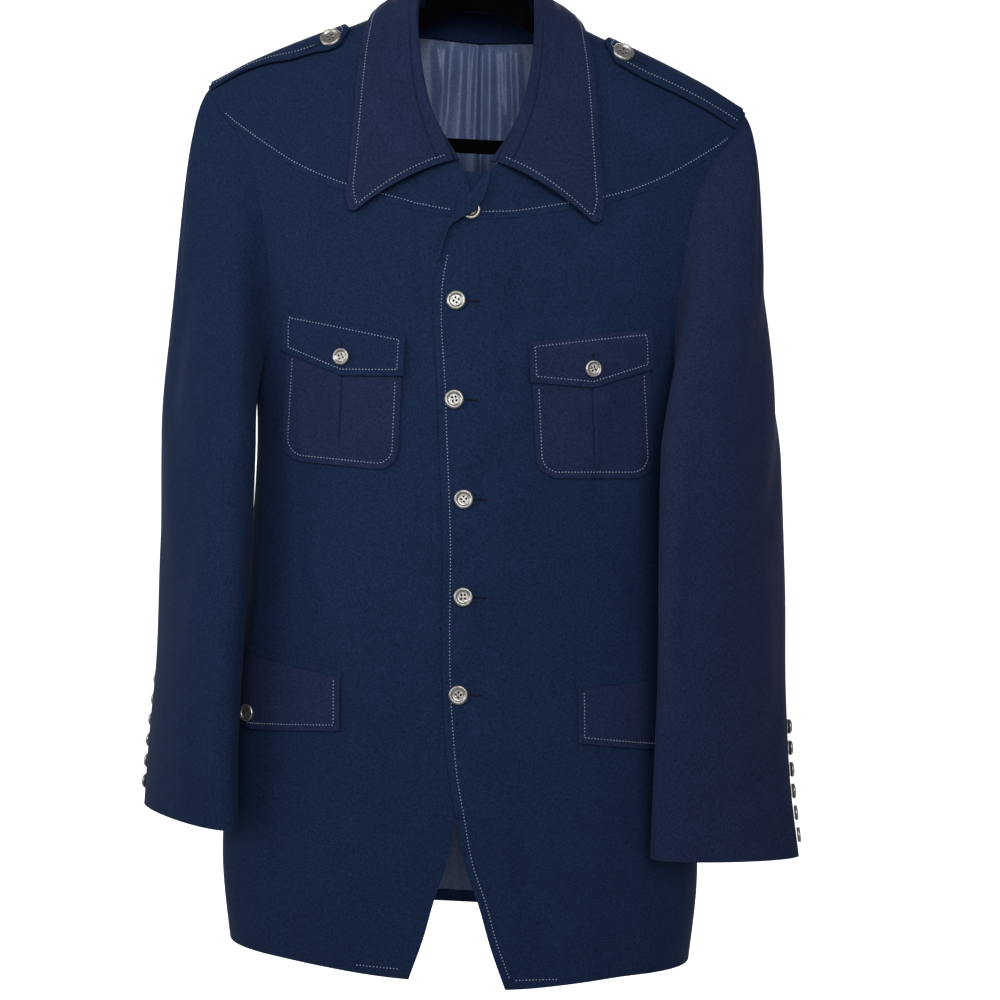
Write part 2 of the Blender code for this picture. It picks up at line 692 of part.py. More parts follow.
def make_chest_pockets(material):
    """Patch pockets with rounded corners, a pleat and a pointed flap."""
    for side in ("right", "left"):
        half = CHEST_WIDTH / 2
        u = np.array((-1.0, -0.97, -0.88, -0.74, -0.4, -0.03, 0.0, 0.03, 0.4, 0.74, 0.88, 0.97, 1.0))
        reach = half * u
        near = np.clip(CORNER - (half - np.abs(reach)), 0.0, CORNER)
        rise = CORNER - np.sqrt(CORNER ** 2 - near ** 2)
        bottom = CHEST_DEPTH - rise
        rows = np.linspace(0, 1, 7)
        down = POCKET_START + (bottom - POCKET_START)[None, :] * rows[:, None]
        across = np.repeat(reach[None, :], len(rows), axis=0)
        x, z = slanted(side, across, down)
        high = POCKET_LOW + CLOTH + 0 * across
        high = np.where(np.abs(across) < 0.001, high - 0.0009, high + 0.0004)
        lay("chest_pocket_" + side, x, z, side, POCKET_LOW, high, material)
        v = np.linspace(-1, 1, 9)
        flap_across = np.repeat((half + 0.002) * v[None, :], 4, axis=0)
        edge = FLAP_DEPTH - FLAP_POINT * np.abs(v)
        flap_down = edge[None, :] * np.linspace(0, 1, 4)[:, None]
        x, z = slanted(side, flap_across, flap_down)
        low = FLAP_LOW - FLAP_ROOT * (1 - smooth(flap_down, 0.0, 0.011))
        lay("chest_flap_" + side, x, z, side, low, low + CLOTH, material)


LOWER_INNER = {"right": -0.1105, "left": 0.0915}
LOWER_TOP = -0.6965
LOWER_SPAN = 0.118        # along the girth of the body
LOWER_STEPS = 9
LOWER_SLOPE = 0.115       # rise of the pocket towards the side
HIP_POINT = 0.092         # where along the flap its point and button are
HIP_BUTTON = 0.050        # the button's distance down from the flap's top
HIP_DEPTH = 0.0455        # of the flap at its inner end
HIP_DROP = 0.0185         # how much deeper it is at its point
WELT_HEIGHT = 0.0058
HIP_LOW = 0.0005          # of the flap and the welt over the front


def lower_place(side, along, down):
    """Level x and height on a lower pocket, along the girth from its inner end."""
    sign = side_sign(side)
    z = LOWER_TOP + LOWER_SLOPE * along - down
    half_width = table(TORSO_ROWS, z, 1)
    start = np.arcsin((sign * LOWER_INNER[side] - sign * centre_x(z)) / half_width)
    depth = table(TORSO_ROWS, z, 2)
    angle = start + 0 * along
    for _ in range(12):
        middle = 0.5 * (start + angle)
        pace = np.sqrt((half_width * np.cos(middle)) ** 2 + (depth * np.sin(middle)) ** 2)
        angle = start + along / pace
    return sign * angle, z


def lay_round(name, angle, z, low, high, material):
    """A flat piece laid on the body by its angles and heights."""
    domain = np.stack([angle, z], axis=-1)
    point = hang(shell(angle, z))
    normal = shell_normal(domain)
    low = np.asarray(low + 0 * z)[..., None]
    high = np.asarray(high + 0 * z)[..., None]
    return wall(name, point + normal * high, point + normal * low, material)


def make_lower_pockets(material):
    """A narrow welt and a long flap at each hip."""
    for side in ("right", "left"):
        along = LOWER_SPAN * np.linspace(0, 1, LOWER_STEPS + 1)
        edge = HIP_DEPTH + HIP_DROP * (1 - np.abs(along - HIP_POINT) / HIP_POINT)
        down = edge[None, :] * np.linspace(0, 1, 4)[:, None]
        spread = np.repeat(along[None, :], 4, axis=0)
        angle, z = lower_place(side, spread, down)
        low = HIP_LOW + 0.0010 * smooth(down, 0.0, 0.012)
        lay_round("lower_flap_" + side, angle, z, low, low + CLOTH, material)
        down = np.array((-WELT_HEIGHT, -0.0004))[:, None] + 0 * spread[:2]
        angle, z = lower_place(side, spread[:2] - 0.002, down)
        lay_round("lower_welt_" + side, angle, z, HIP_LOW, HIP_LOW + 0.0014, material)


# Epaulette: share of its length from the neck, lower edge and upper edge as
# drops below the shoulder line, the upper one over the back
EPAULETTE_ROWS = np.array((
    (0.00, 0.0120, -0.0060),
    (0.06, 0.0230, -0.0130),
    (0.20, 0.0270, -0.0150),
    (0.50, 0.0310, -0.0170),
    (1.00, 0.0370, -0.0200),
))
EPAULETTE_START = 0.112   # distance of its point from the middle
EPAULETTE_STEPS = 9
EPAULETTE_LOW = 0.0008
EPAULETTE_LOOSE = 0.0016  # how much further out its point lies


def ridge_place(r, around):
    """Place by a distance from the middle and a drop, negative on the back."""
    z = shoulder_z(r) - np.abs(around)
    angle = angle_at(r, z)
    angle = np.where(around < 0, np.pi - angle, angle)
    return angle, z


def make_epaulettes(material):
    """A pointed strap along each shoulder, over the shoulder seam."""
    for side in ("right", "left"):
        sign = side_sign(side)
        share = np.linspace(0, 1, EPAULETTE_STEPS + 1) ** 1.2
        front = np.sqrt(table(EPAULETTE_ROWS, share, 1))
        back = -np.sqrt(-table(EPAULETTE_ROWS, share, 2))
        v = np.linspace(0, 1, 9)
        root = front[:, None] * (1 - v) + back[:, None] * v
        around = np.sign(root) * root ** 2
        start = EPAULETTE_START + 0.010 * np.abs(2 * v - 1)[None, :]
        across = start + (TIP_R - start) * share[:, None]
        for _ in range(6):
            z = shoulder_z(across) - np.abs(around)
            arm = np.interp(-z, -ARMHOLE_ROWS[:, 0], ARMHOLE_ROWS[:, 1]) - 0.0030
            across = start + (arm - start) * share[:, None]
        angle, z = ridge_place(across, around)
        domain = np.stack([sign * angle, z], axis=-1)
        point = hang(shell(domain[..., 0], z))
        normal = shell_normal(domain)
        loose = EPAULETTE_LOOSE * (1 - smooth(share, 0.7, 1.0))
        low = (EPAULETTE_LOW + loose)[:, None, None]
        wall("epaulette_" + side, point + normal * (low + CLOTH), point + normal * low, material)


BUTTON_SIDES = 16
# Button profile: share of the radius, height
BUTTON_ROWS = ((0.84, 0.0), (1.0, 0.0013), (0.90, 0.0030), (0.64, 0.0021))


def add_button(name, place, normal, radius, material, sides=BUTTON_SIDES):
    """A dished button with its flat back at a place, facing along a normal."""
    normal = np.array(normal) / np.linalg.norm(normal)
    side = np.cross((0.0, 0.0, 1.0), normal)
    side /= np.linalg.norm(side)
    up = np.cross(normal, side)
    turn = np.linspace(0, 2 * math.pi, sides, endpoint=False)
    circle = np.cos(turn)[:, None] * side + np.sin(turn)[:, None] * up
    rings = [place + circle * share * radius + normal * height for share, height in BUTTON_ROWS]
    vertices = [*np.concatenate(rings), place, place + normal * BUTTON_ROWS[-1][1]]
    faces = []
    for k in range(len(BUTTON_ROWS) - 1):
        for i in range(sides):
            j = (i + 1) % sides
            faces.append((k * sides + i, k * sides + j, (k + 1) * sides + j, (k + 1) * sides + i))
    under = len(BUTTON_ROWS) * sides
    last = (len(BUTTON_ROWS) - 1) * sides
    for i in range(sides):
        j = (i + 1) % sides
        faces.append((j, i, under))
        faces.append((last + i, last + j, under + 1))
    return add_object(name, vertices, faces, material, 50.0)


FRONT_BUTTONS = ((-0.0115, -0.3715), (-0.0130, -0.4555), (-0.0050, -0.5395),
                 (-0.0055, -0.6220), (-0.0095, -0.7045))
TOP_BUTTON = (0.0010, -0.2935)
FRONT_RADIUS = 0.0083
CHEST_RADIUS = 0.0075
EPAULETTE_RADIUS = 0.0095
CUFF_RADIUS = 0.0070
CUFF_BUTTONS = 6
CUFF_FIRST = 0.018        # height of the lowest cuff button over the cuff
CUFF_PITCH = 0.0185
BUTTON_GAP = 0.0004
CUFF_GAP = 0.0007         # more than the others: the sleeve is rounder there
CUFF_SHARE = 0.15         # of a column from the second last one to the seam


def make_buttons(material):
    """The front, chest, hip, shoulder and cuff buttons."""
    for i, (x, z) in enumerate((TOP_BUTTON, *FRONT_BUTTONS)):
        point, normal = front_place(np.array([x]), np.array([z]), "left")
        place = point[0] + normal[0] * BUTTON_GAP
        add_button(f"button_front_{i + 1}", place, normal[0], FRONT_RADIUS, material)
    for side in ("right", "left"):
        x, z = slanted(side, np.array([0.0]), np.array([FLAP_BUTTON]))
        point, normal = front_place(x, z, side)
        place = point[0] + normal[0] * (FLAP_LOW + CLOTH + BUTTON_GAP)
        add_button("button_chest_" + side, place, normal[0], CHEST_RADIUS, material)
        angle, z = lower_place(side, np.array([HIP_POINT]), np.array([HIP_BUTTON]))
        normal = shell_normal(np.stack([angle, z], axis=-1))[0]
        place = hang(shell(angle, z))[0] + normal * (0.0015 + CLOTH + BUTTON_GAP)
        add_button("button_hip_" + side, place, normal, CHEST_RADIUS, material)
        sign = side_sign(side)
        angle, z = ridge_place(np.array([EPAULETTE_START + 0.016]), np.array([0.0150]))
        normal = shell_normal(np.stack([sign * angle, z], axis=-1))[0]
        over = EPAULETTE_LOW + EPAULETTE_LOOSE + CLOTH + 0.0006
        place = hang(shell(sign * angle, z))[0] + normal * over
        add_button("button_shoulder_" + side, place, normal, EPAULETTE_RADIUS, material)
        make_cuff_buttons(side, material)


def make_cuff_buttons(side, material):
    """A row of buttons up the top sleeve, beside the hind arm seam."""
    grid, normal = sleeve_grid(side)
    column = ARM_STEPS + YOKE_STEPS + HIND_SEAM
    first = grid[CAP_STEPS:, column - 2:column + 1]
    outward = normal[CAP_STEPS:, column - 2:column + 1]
    share = CUFF_SHARE
    line = first[:, 1] * (1 - share) + first[:, 2] * share
    facing = outward[:, 1] * (1 - share) + outward[:, 2] * share
    height = line[:, 2]
    for i in range(CUFF_BUTTONS):
        z = height[-1] + CUFF_FIRST + CUFF_PITCH * i
        place = np.array([np.interp(z, height[::-1], line[::-1, k]) for k in range(3)])
        turned = np.array([np.interp(z, height[::-1], facing[::-1, k]) for k in range(3)])
        turned /= np.linalg.norm(turned)
        place += turned * CUFF_GAP
        add_button(f"button_cuff_{side}_{i + 1}", place, turned, CUFF_RADIUS, material, 12)


def back_inside(first_row, last_row, row_step, columns, depth):
    """Points inside the two backs, from the middle outwards on both sides."""
    halves = []
    for side in ("right", "left"):
        domain = backs()["back_" + side]
        rows = np.arange(first_row, last_row + 0.01, row_step)
        low = np.floor(rows).astype(int).clip(0, len(domain) - 2)
        share = (rows - low)[:, None, None]
        part = domain[low, :columns] * (1 - share) + domain[low + 1, :columns] * share
        point = hang(shell(part[..., 0], part[..., 1])) - shell_normal(part) * depth
        halves.append((point, shell_normal(part)))
    points = np.concatenate([halves[0][0][:, ::-1], halves[1][0][:, 1:]], axis=1)
    normals = np.concatenate([halves[0][1][:, ::-1], halves[1][1][:, 1:]], axis=1)
    return points, normals


def make_lining(navy, lining):
    """The neck facing and the back lining, inside the backs."""
    deep = CLOTH + 0.0007
    points, normals = back_inside(0.4, 2.4, 0.5, 3, deep)
    wall("neck_facing", points, points - normals * LINING, navy)
    last = len(backs()["back_right"]) - 1
    points, normals = back_inside(2.5, last - 0.5, 1.0, 6, deep)
    wall("lining_back", points, points - normals * LINING, lining)


ROLL_TOP = -0.2600
ROLL_END = -0.3380
ROLL_RADIUS = 0.0030
ROLL_STEPS = 8
ROLL_WIDTH = 0.0115       # how far the rolled edge lies back over the front
ROLL_WALL = 0.0012


def make_rolled_facing(material):
    """The wearer's left front edge, rolled open over itself at the top."""
    z = np.linspace(ROLL_TOP, ROLL_END, ROLL_STEPS + 1)
    line = front_edge_line(1.0, z)
    x = centre_x(z) + np.sin(line[:, 0]) * table(TORSO_ROWS, z, 1)
    edge, normal = front_place(x, z, "left")
    along = np.gradient(edge, axis=0)
    away = np.cross(normal, along)
    away /= np.linalg.norm(away, axis=-1, keepdims=True)
    if away[0, 0] > 0:
        away = -away
    share = np.linspace(0, 1, ROLL_STEPS + 1)
    radius = ROLL_RADIUS * (1 - 0.45 * smooth(share, 0.55, 1.0))
    reach = ROLL_WIDTH * smooth(share, -0.25, 0.25) * (1 - 0.86 * smooth(share, 0.42, 1.0))
    turn = np.radians(np.array((8.0, 50.0, 92.0, 134.0, 176.0)))
    rows = []
    for angle in turn:
        rows.append(edge + away * (0.0004 + radius * math.sin(angle))[:, None]
                    + normal * (radius * (1 - math.cos(angle)))[:, None])
    for part in (0.5, 1.0):
        rows.append(rows[len(turn) - 1] - away * (reach * part)[:, None]
                    + normal * (0.0006 * part))
    grid = np.stack(rows, axis=1)
    outward = normals_of(grid, grid - (edge + normal * radius[:, None])[:, None])
    wall("facing_left", grid, grid - outward * ROLL_WALL, material)


HANGER_THICK = 0.0050
HANGER_REACH = 0.216
HANGER_DROP = 0.0034      # how far the hanger's top lies under the cloth's face
HANGER_TOP = -0.0580
ARM_HEIGHT = 0.0185       # from the shoulder line to the arm's lower edge
BAR_TOP = -0.2150
BAR_HEIGHT = 0.0120
HOOK_RADIUS = 0.0210
WIRE_RADIUS = 0.0017


def plate(name, upper, lower, material):
    """A flat plate between an upper and a lower outline in the hanger's plane."""
    count = len(upper)
    half = HANGER_THICK / 2
    outline = np.concatenate([upper, lower[::-1]])
    front = hang(np.stack([outline[:, 0], np.full(2 * count, -half), outline[:, 1]], axis=-1))
    back = front + np.array((0.0, HANGER_THICK, 0.0))
    faces = []
    for i in range(count - 1):
        a, b = i, i + 1
        c, d = 2 * count - 2 - i, 2 * count - 1 - i
        faces.append((a, b, c, d))
        faces.append((d + 2 * count, c + 2 * count, b + 2 * count, a + 2 * count))
    for i in range(2 * count):
        j = (i + 1) % (2 * count)
        faces.append((j, i, i + 2 * count, j + 2 * count))
    return add_object(name, np.concatenate([front, back]), faces, material)


def make_hanger(material, metal):
    """A slim flocked hanger: arms with a raised neck, a bar and a wire hook."""
    arm_r = np.concatenate([np.array((0.0, 0.018, 0.034, 0.043, 0.048, 0.056)),
                            np.linspace(0.066, HANGER_REACH, 10)])
    top = shoulder_z(arm_r) - HANGER_DROP
    top[arm_r < 0.080] = np.minimum(top[arm_r < 0.080], -0.1020)
    top[arm_r < 0.066] = np.array((HANGER_TOP, -0.0590, -0.0640, -0.0760, -0.0990, -0.1015))
    low = np.minimum(shoulder_z(arm_r) - ARM_HEIGHT, -0.1165)
    arch = (-0.0975, -0.0985, -0.1060, -0.1130, -0.1160, -0.1165)
    low[:len(arch)] = arch
    r = np.concatenate([-arm_r[:0:-1], arm_r])
    upper = np.stack([CENTRE_TOP + r, np.concatenate([top[:0:-1], top])], axis=-1)
    lower = np.stack([CENTRE_TOP + r, np.concatenate([low[:0:-1], low])], axis=-1)
    plate("hanger_body", upper, lower, material)
    bar_r = np.array((0.0, 0.15, 0.172, 0.190, 0.203, 0.211, 0.2155))
    end_low = float(shoulder_z(HANGER_REACH)) - ARM_HEIGHT - 0.0004
    bar_top = np.array((BAR_TOP, BAR_TOP, BAR_TOP, -0.2135, -0.2080, -0.1970, end_low))
    bar_low = np.array((BAR_TOP, BAR_TOP, BAR_TOP, -0.2140, -0.2110, -0.2030, -0.1900))
    bar_low = bar_low - BAR_HEIGHT
    bar_top[-2] = min(bar_top[-2], end_low - 0.004)
    r = np.concatenate([-bar_r[:0:-1], bar_r])
    upper = np.stack([CENTRE_TOP + r, np.concatenate([bar_top[:0:-1], bar_top])], axis=-1)
    lower = np.stack([CENTRE_TOP + r, np.concatenate([bar_low[:0:-1], bar_low])], axis=-1)
    plate("hanger_bar", upper, lower, material)
    make_hook(metal)


def make_hook(metal):
    """The wire hook, whose inner top is at the origin."""
    centre_z = WIRE_RADIUS - HOOK_RADIUS
    turn = np.radians(np.linspace(-90, 205, 19))
    loop = np.stack([HOOK_RADIUS * np.cos(turn), centre_z + HOOK_RADIUS * np.sin(turn)], axis=-1)
    foot_z = HANGER_TOP - TILT * CENTRE_TOP + SEAM + 0.0002
    lowest = centre_z - HOOK_RADIUS
    shank = np.array(((CENTRE_TOP * 0.6, foot_z), (CENTRE_TOP * 0.4, 0.5 * (foot_z + lowest))))
    path = np.concatenate([shank, loop])
    ahead = np.gradient(path, axis=0)
    ahead /= np.linalg.norm(ahead, axis=-1, keepdims=True)
    ahead[0] = (0.0, 1.0)
    sides = 8
    spin = np.linspace(0, 2 * math.pi, sides, endpoint=False)
    vertices = []
    for (x, z), (dx, dz) in zip(path, ahead):
        for a in spin:
            across = WIRE_RADIUS * math.cos(a)
            vertices.append((x + across * dz, WIRE_RADIUS * math.sin(a), z - across * dx))
    faces = []
    for k in range(len(path) - 1):
        for i in range(sides):
            j = (i + 1) % sides
            faces.append((k * sides + i, k * sides + j, (k + 1) * sides + j, (k + 1) * sides + i))
    faces.append(tuple(range(sides))[::-1])
    faces.append(tuple(range(len(vertices) - sides, len(vertices))))
    add_object("hanger_hook", vertices, faces, metal)


def cloth_material(name, colour, roughness):
    """A plain material of one colour."""
    material = bpy.data.materials.new(name)
    material.use_nodes = True
    shader = material.node_tree.nodes["Principled BSDF"]
    shader.inputs["Base Color"].default_value = (*colour, 1.0)
    shader.inputs["Roughness"].default_value = roughness
    return material


def main():
    """Clear the scene and build every piece."""
    for obj in list(bpy.data.objects):
        bpy.data.objects.remove(obj)
    navy = cloth_material("navy_twill", (0.011, 0.021, 0.058), 0.8)
    lining = cloth_material("lining_twill", (0.056, 0.075, 0.14), 0.45)
    pewter = cloth_material("pewter", (0.45, 0.44, 0.42), 0.35)
    pewter.node_tree.nodes["Principled BSDF"].inputs["Metallic"].default_value = 0.9
    flock = cloth_material("black_flock", (0.004, 0.004, 0.005), 0.95)
    steel = cloth_material("steel", (0.55, 0.55, 0.56), 0.25)
    steel.node_tree.nodes["Principled BSDF"].inputs["Metallic"].default_value = 1.0
    patches = body_patches()
    make_body(patches, navy)
    make_sleeves(navy)
    make_collar(navy)
    make_rolled_facing(navy)
    make_chest_pockets(navy)
    make_lower_pockets(navy)
    make_epaulettes(navy)
    make_lining(navy, lining)
    make_buttons(pewter)
    make_hanger(flock, steel)


main()
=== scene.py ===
import math

import bpy
import numpy as np
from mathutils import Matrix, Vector


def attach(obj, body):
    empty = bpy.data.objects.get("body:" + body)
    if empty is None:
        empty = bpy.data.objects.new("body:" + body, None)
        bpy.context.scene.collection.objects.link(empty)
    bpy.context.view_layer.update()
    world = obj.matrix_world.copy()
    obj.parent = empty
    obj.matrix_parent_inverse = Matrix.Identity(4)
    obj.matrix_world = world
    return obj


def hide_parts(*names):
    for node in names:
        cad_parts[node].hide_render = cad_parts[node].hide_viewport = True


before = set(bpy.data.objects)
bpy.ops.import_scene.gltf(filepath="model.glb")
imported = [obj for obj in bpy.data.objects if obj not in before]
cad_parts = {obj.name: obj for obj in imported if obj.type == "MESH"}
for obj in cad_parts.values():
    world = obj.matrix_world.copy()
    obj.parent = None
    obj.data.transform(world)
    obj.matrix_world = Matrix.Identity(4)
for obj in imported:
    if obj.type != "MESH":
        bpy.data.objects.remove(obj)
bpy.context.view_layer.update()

# The jacket hangs level in these formulas and is then dropped towards +X by hangDown.
# x runs to the wearer's left, -y to the front, z up from the top of the hook, in metres.
garment = {
    "cloth": 0.0014,          # wall of the navy cloth
    "liningWall": 0.0009,
    "tilt": 0.050,            # drop per metre towards +X
    "neckHalf": 0.072,
    "tipHalf": 0.241,
    "middleTop": 0.005,
    "middleHem": -0.011,
    "frontX": -0.0115,
    "neckFrontZ": -0.256,
    "underarmZ": -0.435,
    "hemZ": -0.941,
    "backHemZ": -0.925,
    "cornerDrop": 0.008,
    "overlap": 0.0030,        # how far the buttonhole front stands over the other
    "seamGap": -0.0003,       # minus: the sewn panels just overlap
}

torsoRows = np.array((        # height, half width, depth in front, depth behind
    (-0.020, 0.268, 0.070, 0.056), (-0.200, 0.262, 0.074, 0.060),
    (-0.300, 0.232, 0.082, 0.066), (-0.435, 0.196, 0.087, 0.072),
    (-0.600, 0.195, 0.086, 0.070), (-0.780, 0.2095, 0.090, 0.076),
    (-0.870, 0.2135, 0.093, 0.081), (-0.960, 0.2040, 0.096, 0.086)))
edgeRows = np.array((         # height, front edge past the centre: right front, left front
    (-0.254, 0.0200, -0.0310), (-0.268, 0.0200, -0.0240), (-0.286, 0.0190, -0.0110),
    (-0.294, 0.0185, -0.0055), (-0.301, 0.0180, 0.0011), (-0.310, 0.0176, 0.0062),
    (-0.324, 0.0170, 0.0113), (-0.340, 0.0160, 0.0153),
    (-0.457, 0.0153, 0.0153), (-0.565, 0.0115, 0.0115), (-0.701, 0.0111, 0.0111),
    (-0.743, 0.0085, 0.0085), (-0.777, 0.0050, 0.0050), (-0.802, 0.0005, 0.0005),
    (-0.848, -0.0083, -0.0083), (-0.877, -0.0184, -0.0184), (-0.910, -0.0277, -0.0277),
    (-0.943, -0.0395, -0.0395), (-0.960, -0.0450, -0.0450)))
armholeRows = np.array((      # height, distance from the middle in front, behind
    (-0.182, 0.2410, 0.2410), (-0.205, 0.2280, 0.2270), (-0.225, 0.2120, 0.2150),
    (-0.250, 0.1990, 0.2040), (-0.280, 0.1900, 0.1960), (-0.315, 0.1840, 0.1900),
    (-0.350, 0.1790, 0.1860), (-0.380, 0.1770, 0.1840), (-0.405, 0.1780, 0.1840)))
yokeRows = np.array((         # distance from the middle, height of the front yoke seam
    (0.000, -0.3010), (0.030, -0.2980), (0.070, -0.2890), (0.110, -0.2790),
    (0.130, -0.2720), (0.160, -0.2580), (0.190, -0.2385), (0.215, -0.2205)))
neckRows = np.array((         # height, distance from the middle of the front neck edge
    (-0.094, 0.0720), (-0.120, 0.0700), (-0.150, 0.0660), (-0.185, 0.0570),
    (-0.215, 0.0430), (-0.240, 0.0270), (-0.256, 0.0140)))


def readRows(rows, key, column):   # a smooth curve through a table's rows
    keys, values = rows[:, 0], rows[:, column]
    if keys[0] > keys[-1]:
        keys, values = keys[::-1], values[::-1]
    slopes = np.gradient(values, keys)
    spot = np.clip(np.asarray(key, float), keys[0], keys[-1])
    low = np.clip(np.searchsorted(keys, spot) - 1, 0, len(keys) - 2)
    width = keys[low + 1] - keys[low]
    t = (spot - keys[low]) / width
    return ((2 * t ** 3 - 3 * t ** 2 + 1) * values[low]
            + (t ** 3 - 2 * t ** 2 + t) * width * slopes[low]
            + (3 * t ** 2 - 2 * t ** 3) * values[low + 1]
            + (t ** 3 - t ** 2) * width * slopes[low + 1])


def ease(value, start, end):       # 0 before start, 1 after end, level at both
    t = np.clip((np.asarray(value, float) - start) / (end - start), 0.0, 1.0)
    return t * t * (3 - 2 * t)


bothSides = ("right", "left")


def signOf(side):
    return 1.0 if side == "left" else -1.0


def unit(vectors):
    return vectors / np.maximum(np.linalg.norm(vectors, axis=-1, keepdims=True), 1e-12)


def runLength(points):             # distance along a line of points
    return np.concatenate([[0], np.cumsum(np.linalg.norm(np.diff(points, axis=0), axis=1))])


def rowWidths(grid):
    return np.linalg.norm(np.diff(grid, axis=1), axis=-1).sum(axis=1)


def middleX(z):                    # the garment's middle leans with the hanger
    share = ease(-np.asarray(z), 0.15, 0.95)
    return garment["middleTop"] + (garment["middleHem"] - garment["middleTop"]) * share


shoulder = {"start": 0.070, "top": -0.104, "slope": 0.33, "bend": 0.60, "neckRise": 1.3,
            "neckSoft": 0.012, "fill": 1.1, "fillDrop": 0.12}


def shoulderZ(r):                  # a slope and a slight bend outwards, a soft rise at the neck
    outer, soft = r - shoulder["start"], shoulder["neckSoft"]
    rise = shoulder["neckRise"] * soft * np.logaddexp(0.0, -outer / soft)
    return shoulder["top"] - shoulder["slope"] * outer - shoulder["bend"] * outer ** 2 + rise


def fullness(drop):                # the body fills as the root of drop / (drop + fillDrop)
    drop = np.maximum(drop, 0.0)
    return shoulder["fill"] * np.sqrt(drop / (drop + shoulder["fillDrop"]))


def hangDown(points):              # z falls by tilt times x
    moved = np.array(points, float)
    moved[..., 2] -= garment["tilt"] * moved[..., 0]
    return moved


def torso(angle, z, lift=0.0):     # an oval per height: x by the sine, y by the cosine
    angle, z = np.asarray(angle, float), np.asarray(z, float)
    across = readRows(torsoRows, z, 1) * np.sin(angle)
    share = fullness(shoulderZ(np.abs(across)) - z)
    facing = np.cos(angle)
    depth = np.where(facing > 0, readRows(torsoRows, z, 2), readRows(torsoRows, z, 3))
    return np.stack([middleX(z) + across, -facing * depth * share - lift, z + 0 * across], -1)


def torsoNormal(angle, z):         # cross product of small steps round and up
    tiny = 1e-6
    around = hangDown(torso(angle + tiny, z)) - hangDown(torso(angle - tiny, z))
    up = hangDown(torso(angle, z + tiny)) - hangDown(torso(angle, z - tiny))
    normal = np.cross(around, up)
    return normal / np.linalg.norm(normal, axis=-1, keepdims=True)


def angleFor(across, z, behind=False):
    angle = np.arcsin(np.clip(across / readRows(torsoRows, z, 1), -1.0, 1.0))
    return np.pi - angle if behind else angle


def frontLift(x):
    return garment["overlap"] * (1 - ease(x, 0.015, 0.075))


# Creases: start x, z, end x, z, half width, height (minus is a trough), bow
frontCreases = (
    (-0.050, -0.262, -0.036, -0.402, 0.0060, -0.0030, 0.06),
    (-0.040, -0.285, -0.029, -0.420, 0.0050, 0.0022, -0.05),
    (-0.066, -0.330, -0.052, -0.505, 0.0110, 0.0010, 0.04),
    (-0.150, -0.515, -0.143, -0.705, 0.0042, -0.0015, 0.02),
    (-0.100, -0.560, -0.078, -0.800, 0.0190, 0.0019, -0.05),
    (-0.060, -0.720, -0.075, -0.930, 0.0160, -0.0020, 0.05),
    (-0.128, -0.770, -0.140, -0.940, 0.0170, 0.0021, -0.03),
    (-0.165, -0.400, -0.120, -0.520, 0.0140, -0.0018, 0.10),
    (-0.170, -0.460, -0.140, -0.600, 0.0120, 0.0013, -0.08),
    (0.050, -0.330, 0.030, -0.470, 0.0100, -0.0012, -0.06),
    (0.064, -0.500, 0.070, -0.760, 0.0200, 0.0018, 0.04),
    (0.032, -0.760, 0.060, -0.935, 0.0150, -0.0019, 0.05),
    (0.110, -0.760, 0.104, -0.940, 0.0180, 0.0022, -0.04),
    (0.145, -0.560, 0.138, -0.690, 0.0120, -0.0014, 0.05),
    (0.150, -0.410, 0.108, -0.545, 0.0130, -0.0019, -0.09),
    (0.158, -0.480, 0.128, -0.620, 0.0110, 0.0012, 0.07),
    (0.150, -0.262, 0.100, -0.300, 0.0120, -0.0010, 0.10),
    (-0.160, -0.262, -0.108, -0.300, 0.0120, -0.0010, -0.10),
)
backCreases = (
    (-0.080, -0.180, -0.020, -0.290, 0.0150, -0.0016, 0.08),
    (0.085, -0.185, 0.022, -0.300, 0.0150, -0.0015, -0.08),
    (-0.150, -0.330, -0.090, -0.520, 0.0170, -0.0022, 0.10),
    (0.150, -0.340, 0.098, -0.510, 0.0170, -0.0021, -0.10),
    (-0.118, -0.420, -0.070, -0.640, 0.0150, 0.0017, 0.07),
    (0.116, -0.430, 0.066, -0.660, 0.0160, 0.0018, -0.06),
    (-0.045, -0.600, -0.060, -0.900, 0.0200, -0.0022, 0.03),
    (0.050, -0.620, 0.056, -0.900, 0.0190, -0.0020, -0.04),
    (-0.120, -0.680, -0.128, -0.920, 0.0180, 0.0022, -0.03),
    (0.118, -0.660, 0.130, -0.920, 0.0190, 0.0022, 0.03),
    (-0.030, -0.330, 0.030, -0.345, 0.0120, -0.0011, 0.12),
)
# The same for a sleeve: start degrees round it, z, end degrees, z, half width, height, bow
sleeveCreases = {
    "right": (
        (60, -0.330, 100, -0.470, 0.0140, -0.0026, 0.10),
        (20, -0.420, 62, -0.545, 0.0130, -0.0024, -0.10),
        (110, -0.430, 84, -0.600, 0.0160, 0.0022, 0.08),
        (40, -0.560, 66, -0.680, 0.0130, 0.0018, 0.09),
        (130, -0.520, 150, -0.700, 0.0130, -0.0020, 0.05),
        (30, -0.640, 55, -0.790, 0.0140, -0.0016, 0.05),
        (220, -0.420, 250, -0.560, 0.0140, -0.0022, 0.08),
        (240, -0.560, 215, -0.740, 0.0150, 0.0018, -0.06)),
    "left": (
        (120, -0.340, 84, -0.480, 0.0150, -0.0026, -0.10),
        (148, -0.430, 112, -0.560, 0.0130, -0.0023, 0.10),
        (58, -0.430, 86, -0.620, 0.0160, 0.0021, -0.08),
        (100, -0.580, 120, -0.720, 0.0130, 0.0017, 0.06),
        (40, -0.500, 32, -0.690, 0.0130, -0.0019, 0.06),
        (130, -0.660, 112, -0.810, 0.0140, -0.0016, 0.05),
        (230, -0.430, 255, -0.580, 0.0140, -0.0022, 0.08),
        (250, -0.590, 228, -0.760, 0.0150, 0.0018, -0.06)),
}


